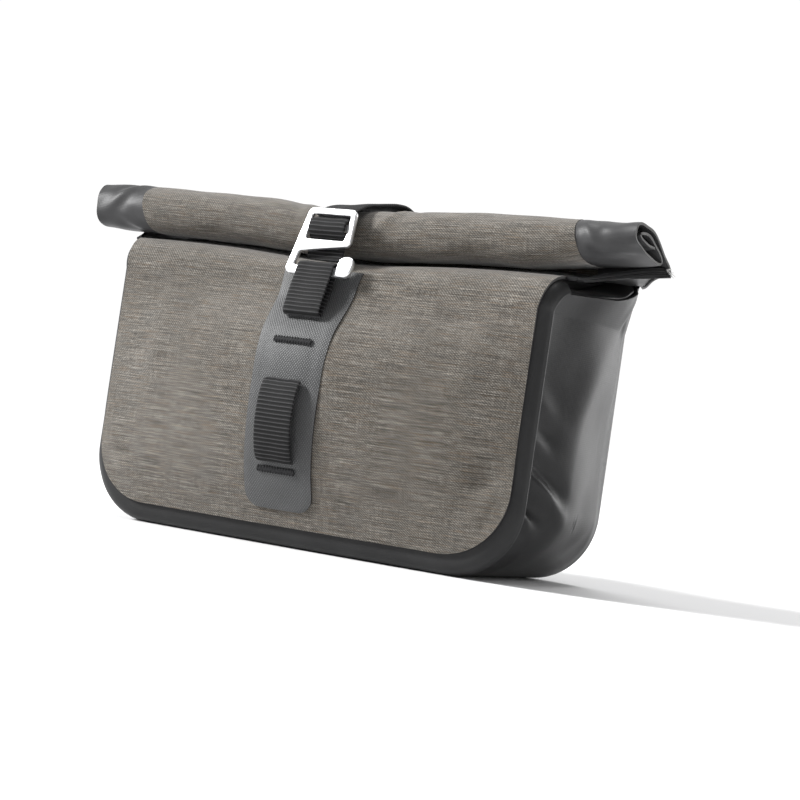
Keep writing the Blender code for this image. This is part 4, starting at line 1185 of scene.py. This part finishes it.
def make_tack(label, height, surface):
    """Dense bar of stitches: a zigzag of spindles across the webbing under the patch."""
    x = np.linspace(-WEBBING_WIDTH / 2, WEBBING_WIDTH / 2, TACK_STITCHES)
    sway = 0.35 * np.sin(np.arange(TACK_STITCHES) * 1.9)
    low, high = (on_front(x + aside, height + rise + sway, PATCH_FACE + 0.75)
                 for aside, rise in ((0.0, -TACK_HEIGHT / 2), (0.25, TACK_HEIGHT / 2)))
    return stitches(f"bar_tack_{label}_thread", low, high, (0.0, -1.0, 0.0), 0.42, surface,
                    f"bar_tack_{label}")


def dashes(corners, pitch, cover=0.72):
    """Starts and ends of stitches a pitch apart along a line through corners (x, z)."""
    line, _ = even_path(np.asarray(corners, float), pitch)
    return line[:-1], line[:-1] + (line[1:] - line[:-1]) * cover


def make_back_stitches(surface):
    """A box with a cross that sews the strap's foot to the back."""
    half, low, high = 8.0, STRAP_FOOT + 2, STRAP_FOOT + 18
    depth = BODY_DEPTH + GAP + WEBBING + 0.55
    runs = [dashes(line, 2.4) for line in (
        [(-half, low), (half, low), (half, high), (-half, high), (-half, low)],
        [(-half, low), (half, high)], [(-half, high), (half, low)])]
    starts, ends = (np.insert(np.concatenate(part), 1, depth, axis=1) for part in zip(*runs))
    return stitches("back_stitches", starts, ends, (0.0, 1.0, 0.0), 0.30, surface)


def make_frays(surface):
    """Loose thread ends at the tips of the roll: short bent spindles fanned out by the seed."""
    rng = np.random.default_rng(12)
    count = 26
    side = np.where(np.arange(count) < 18, 1.0, -1.0)
    share = rng.uniform(0.90, 1.0, count)
    root = np.stack([side * (ROLL_HALF_LENGTH - rng.uniform(0.0, 1.6, count)),
                     ROLL_FRONT + ROLL_DEPTH * share,
                     ROLL_BASE + ROLL_HEIGHT * (0.36 - 0.6 * (share - 0.9))], 1)
    way = np.stack([side * rng.uniform(0.4, 1.0, count), rng.uniform(-0.5, 0.6, count),
                    rng.uniform(-0.9, 0.5, count)], 1)
    reach = rng.uniform(1.4, 4.2, count)[:, None]
    return stitches("roll_frays", root, root + way * reach, (0.0, 0.0, 1.0), 0.13, surface)


# ---- Scene around the bag

def placed(data, place, back, roll=0.0):
    """Puts a camera or light at a place in metres, with its back along a direction and its top rolled.

    Its other axes are cross products, first with the upward direction.
    """
    right = np.cross([0.0, 0.0, 1.0], back)
    right /= np.linalg.norm(right)
    up = np.cross(back, right)
    axes = np.eye(4)
    axes[:3, 0] = math.cos(roll) * right + math.sin(roll) * up
    axes[:3, 1] = math.cos(roll) * up - math.sin(roll) * right
    axes[:3, 2] = back
    axes[:3, 3] = place
    made = bpy.data.objects.new(data.name, data)
    bpy.context.collection.objects.link(made)
    made.matrix_world = Matrix(axes)
    return made


def make_camera():
    """Camera at the fitted place: turned round the bag, a little below its middle, and rolled."""
    azimuth, elevation, roll = np.radians(CAMERA_TURNS)
    back = np.array([math.sin(azimuth) * math.cos(elevation), -math.cos(azimuth) * math.cos(elevation),
                     math.sin(elevation)])
    data = bpy.data.cameras.new("photo_camera")
    data.sensor_width = SENSOR_WIDTH
    data.lens = CAMERA_FOCUS * SENSOR_WIDTH
    data.clip_start = 0.02
    place = (np.array([CAMERA_ACROSS, -FRAME_SHIFT, CAMERA_HEIGHT]) + CAMERA_DISTANCE * back) * MM
    bpy.context.scene.camera = placed(data, place, back, roll)


def make_light(name, place, target, size, power):
    """Soft light that looks at a target: a sun where size is its angle, or a rectangle in metres."""
    back = np.subtract(place, target)
    back /= np.linalg.norm(back)
    far_away = isinstance(size, float)
    data = bpy.data.lights.new(name, "SUN" if far_away else "AREA")
    if far_away:
        data.angle = math.radians(size)
    else:
        data.shape = "RECTANGLE"
        data.size, data.size_y = size
    data.energy = power
    placed(data, place, back)


def make_surroundings():
    """A pale room, whitest behind the bag, and a pale floor that reaches far behind it."""
    world = bpy.data.worlds.new("pale_room")
    world.use_nodes = True
    room = Nodes(world.node_tree)
    towards = room.node("ShaderNodeTexCoord", {}, {}, "Generated")
    facing = room.node("ShaderNodeVectorMath", {"operation": "DOT_PRODUCT"},
                       {0: towards, 1: (-0.47, 0.88, 0.0)}, "Value")
    sky = world.node_tree.nodes["Background"]
    room.join(sky.inputs["Strength"], facing.within(0.60, 0.93) * 0.69 + 0.34)
    sky.inputs["Color"].default_value = (1.0, 1.0, 1.0, 1.0)
    bpy.context.scene.world = world
    corners = [(x * FLOOR_REACH, y * FLOOR_REACH, FLOOR_HEIGHT)
               for x, y in ((-1, -1), (1, -1), (1, 1), (-1, 1))]
    mesh = mesh_of("floor", corners, [(0, 1, 2, 3)])
    mesh.materials.append(floor_finish())
    floor = bpy.data.objects.new("floor", mesh)
    bpy.context.collection.objects.link(floor)


def main():
    heather = heather_finish("heather_twill_front", 0.85)
    heather_roll = heather_finish("heather_twill_roll", 0.85, 0.95)
    coated = coated_finish("coated_dark", (0.019, 0.019, 0.0195))
    coated_ends = coated_finish("coated_ends", (0.040, 0.040, 0.041), 0.14, 0.44)
    # Pale cut edges: the lighter colour is partly the cut cloth's own and partly a painted highlight along
    # the edges.
    pale_cut_with_highlight = coated_finish("pale_cut_edge_and_painted_highlight", (0.052, 0.051, 0.050), 0.05, 0.6)
    cut_dark = coated_finish("cut_edge_dark", (0.008, 0.008, 0.0085), 0.05, 0.6)
    patch = patch_finish()
    black_webbing = webbing_finish()
    black_thread = thread_finish("black_thread", (0.005, 0.005, 0.006), (0.030, 0.030, 0.031))
    pale_thread = thread_finish("pale_thread", (0.45, 0.45, 0.44), (0.80, 0.80, 0.78))

    make_front_panel(heather, pale_cut_with_highlight)
    make_back_panel(coated, cut_dark)
    make_gusset(coated, cut_dark)
    for side, label, creases in ((1, "right", RIGHT_SIDE_CREASES), (-1, "left", LEFT_SIDE_CREASES)):
        make_corner_fold(side, label, creases, coated, cut_dark)
    for label, start, stop, count, seed, cloths, slot, lift in (
            ("top", lambda t: -seam_place(t, -1), lambda t: seam_place(t, 1), 110, 1,
             (heather_roll, cut_dark), "heather_cloth", SEAM_LAP),
            ("end_right", lambda t: seam_place(t, 1) - SEAM_OVERLAP,
             lambda t: 0 * t + ROLL_HALF_LENGTH, 34, 2, (coated_ends, pale_cut_with_highlight), "coated_cloth", 0.0),
            ("end_left", left_end_place, lambda t: SEAM_OVERLAP - seam_place(t, -1), 34, 3,
             (coated_ends, pale_cut_with_highlight), "coated_cloth", 0.0)):
        make_roll(label, start, stop, count, seed, *cloths, slot, lift)
    make_patch(patch, cut_dark)
    make_front_loop(black_webbing)
    for label, height in (("upper", UPPER_TACK), ("lower", LOWER_TACK)):
        make_tack(label, height, black_thread)
    make_hook(metal_finish())
    make_hook_loop(black_webbing)
    make_closure_strap(black_webbing)
    for label, centre in (("left", -BAR_LOOP_PLACE), ("right", BAR_LOOP_PLACE)):
        make_bar_loop(label, centre, black_webbing)
    make_back_stitches(black_thread)
    make_frays(pale_thread)

    make_surroundings()
    make_camera()
    bpy.context.scene.view_settings.view_transform = "Standard"
    make_light("key", (-1.6, -1.0, 1.25), (0.0, 0.0, 0.09), 16.0, 6.0)
    make_light("side", (0.95, 2.1, 0.5), (0.12, 0.0, 0.08), (1.3, 1.3), 19.5)
    make_light("top", (0.1, 0.3, 1.9), (0.0, 0.0, 0.1), (1.2, 0.8), 20.0)


main()
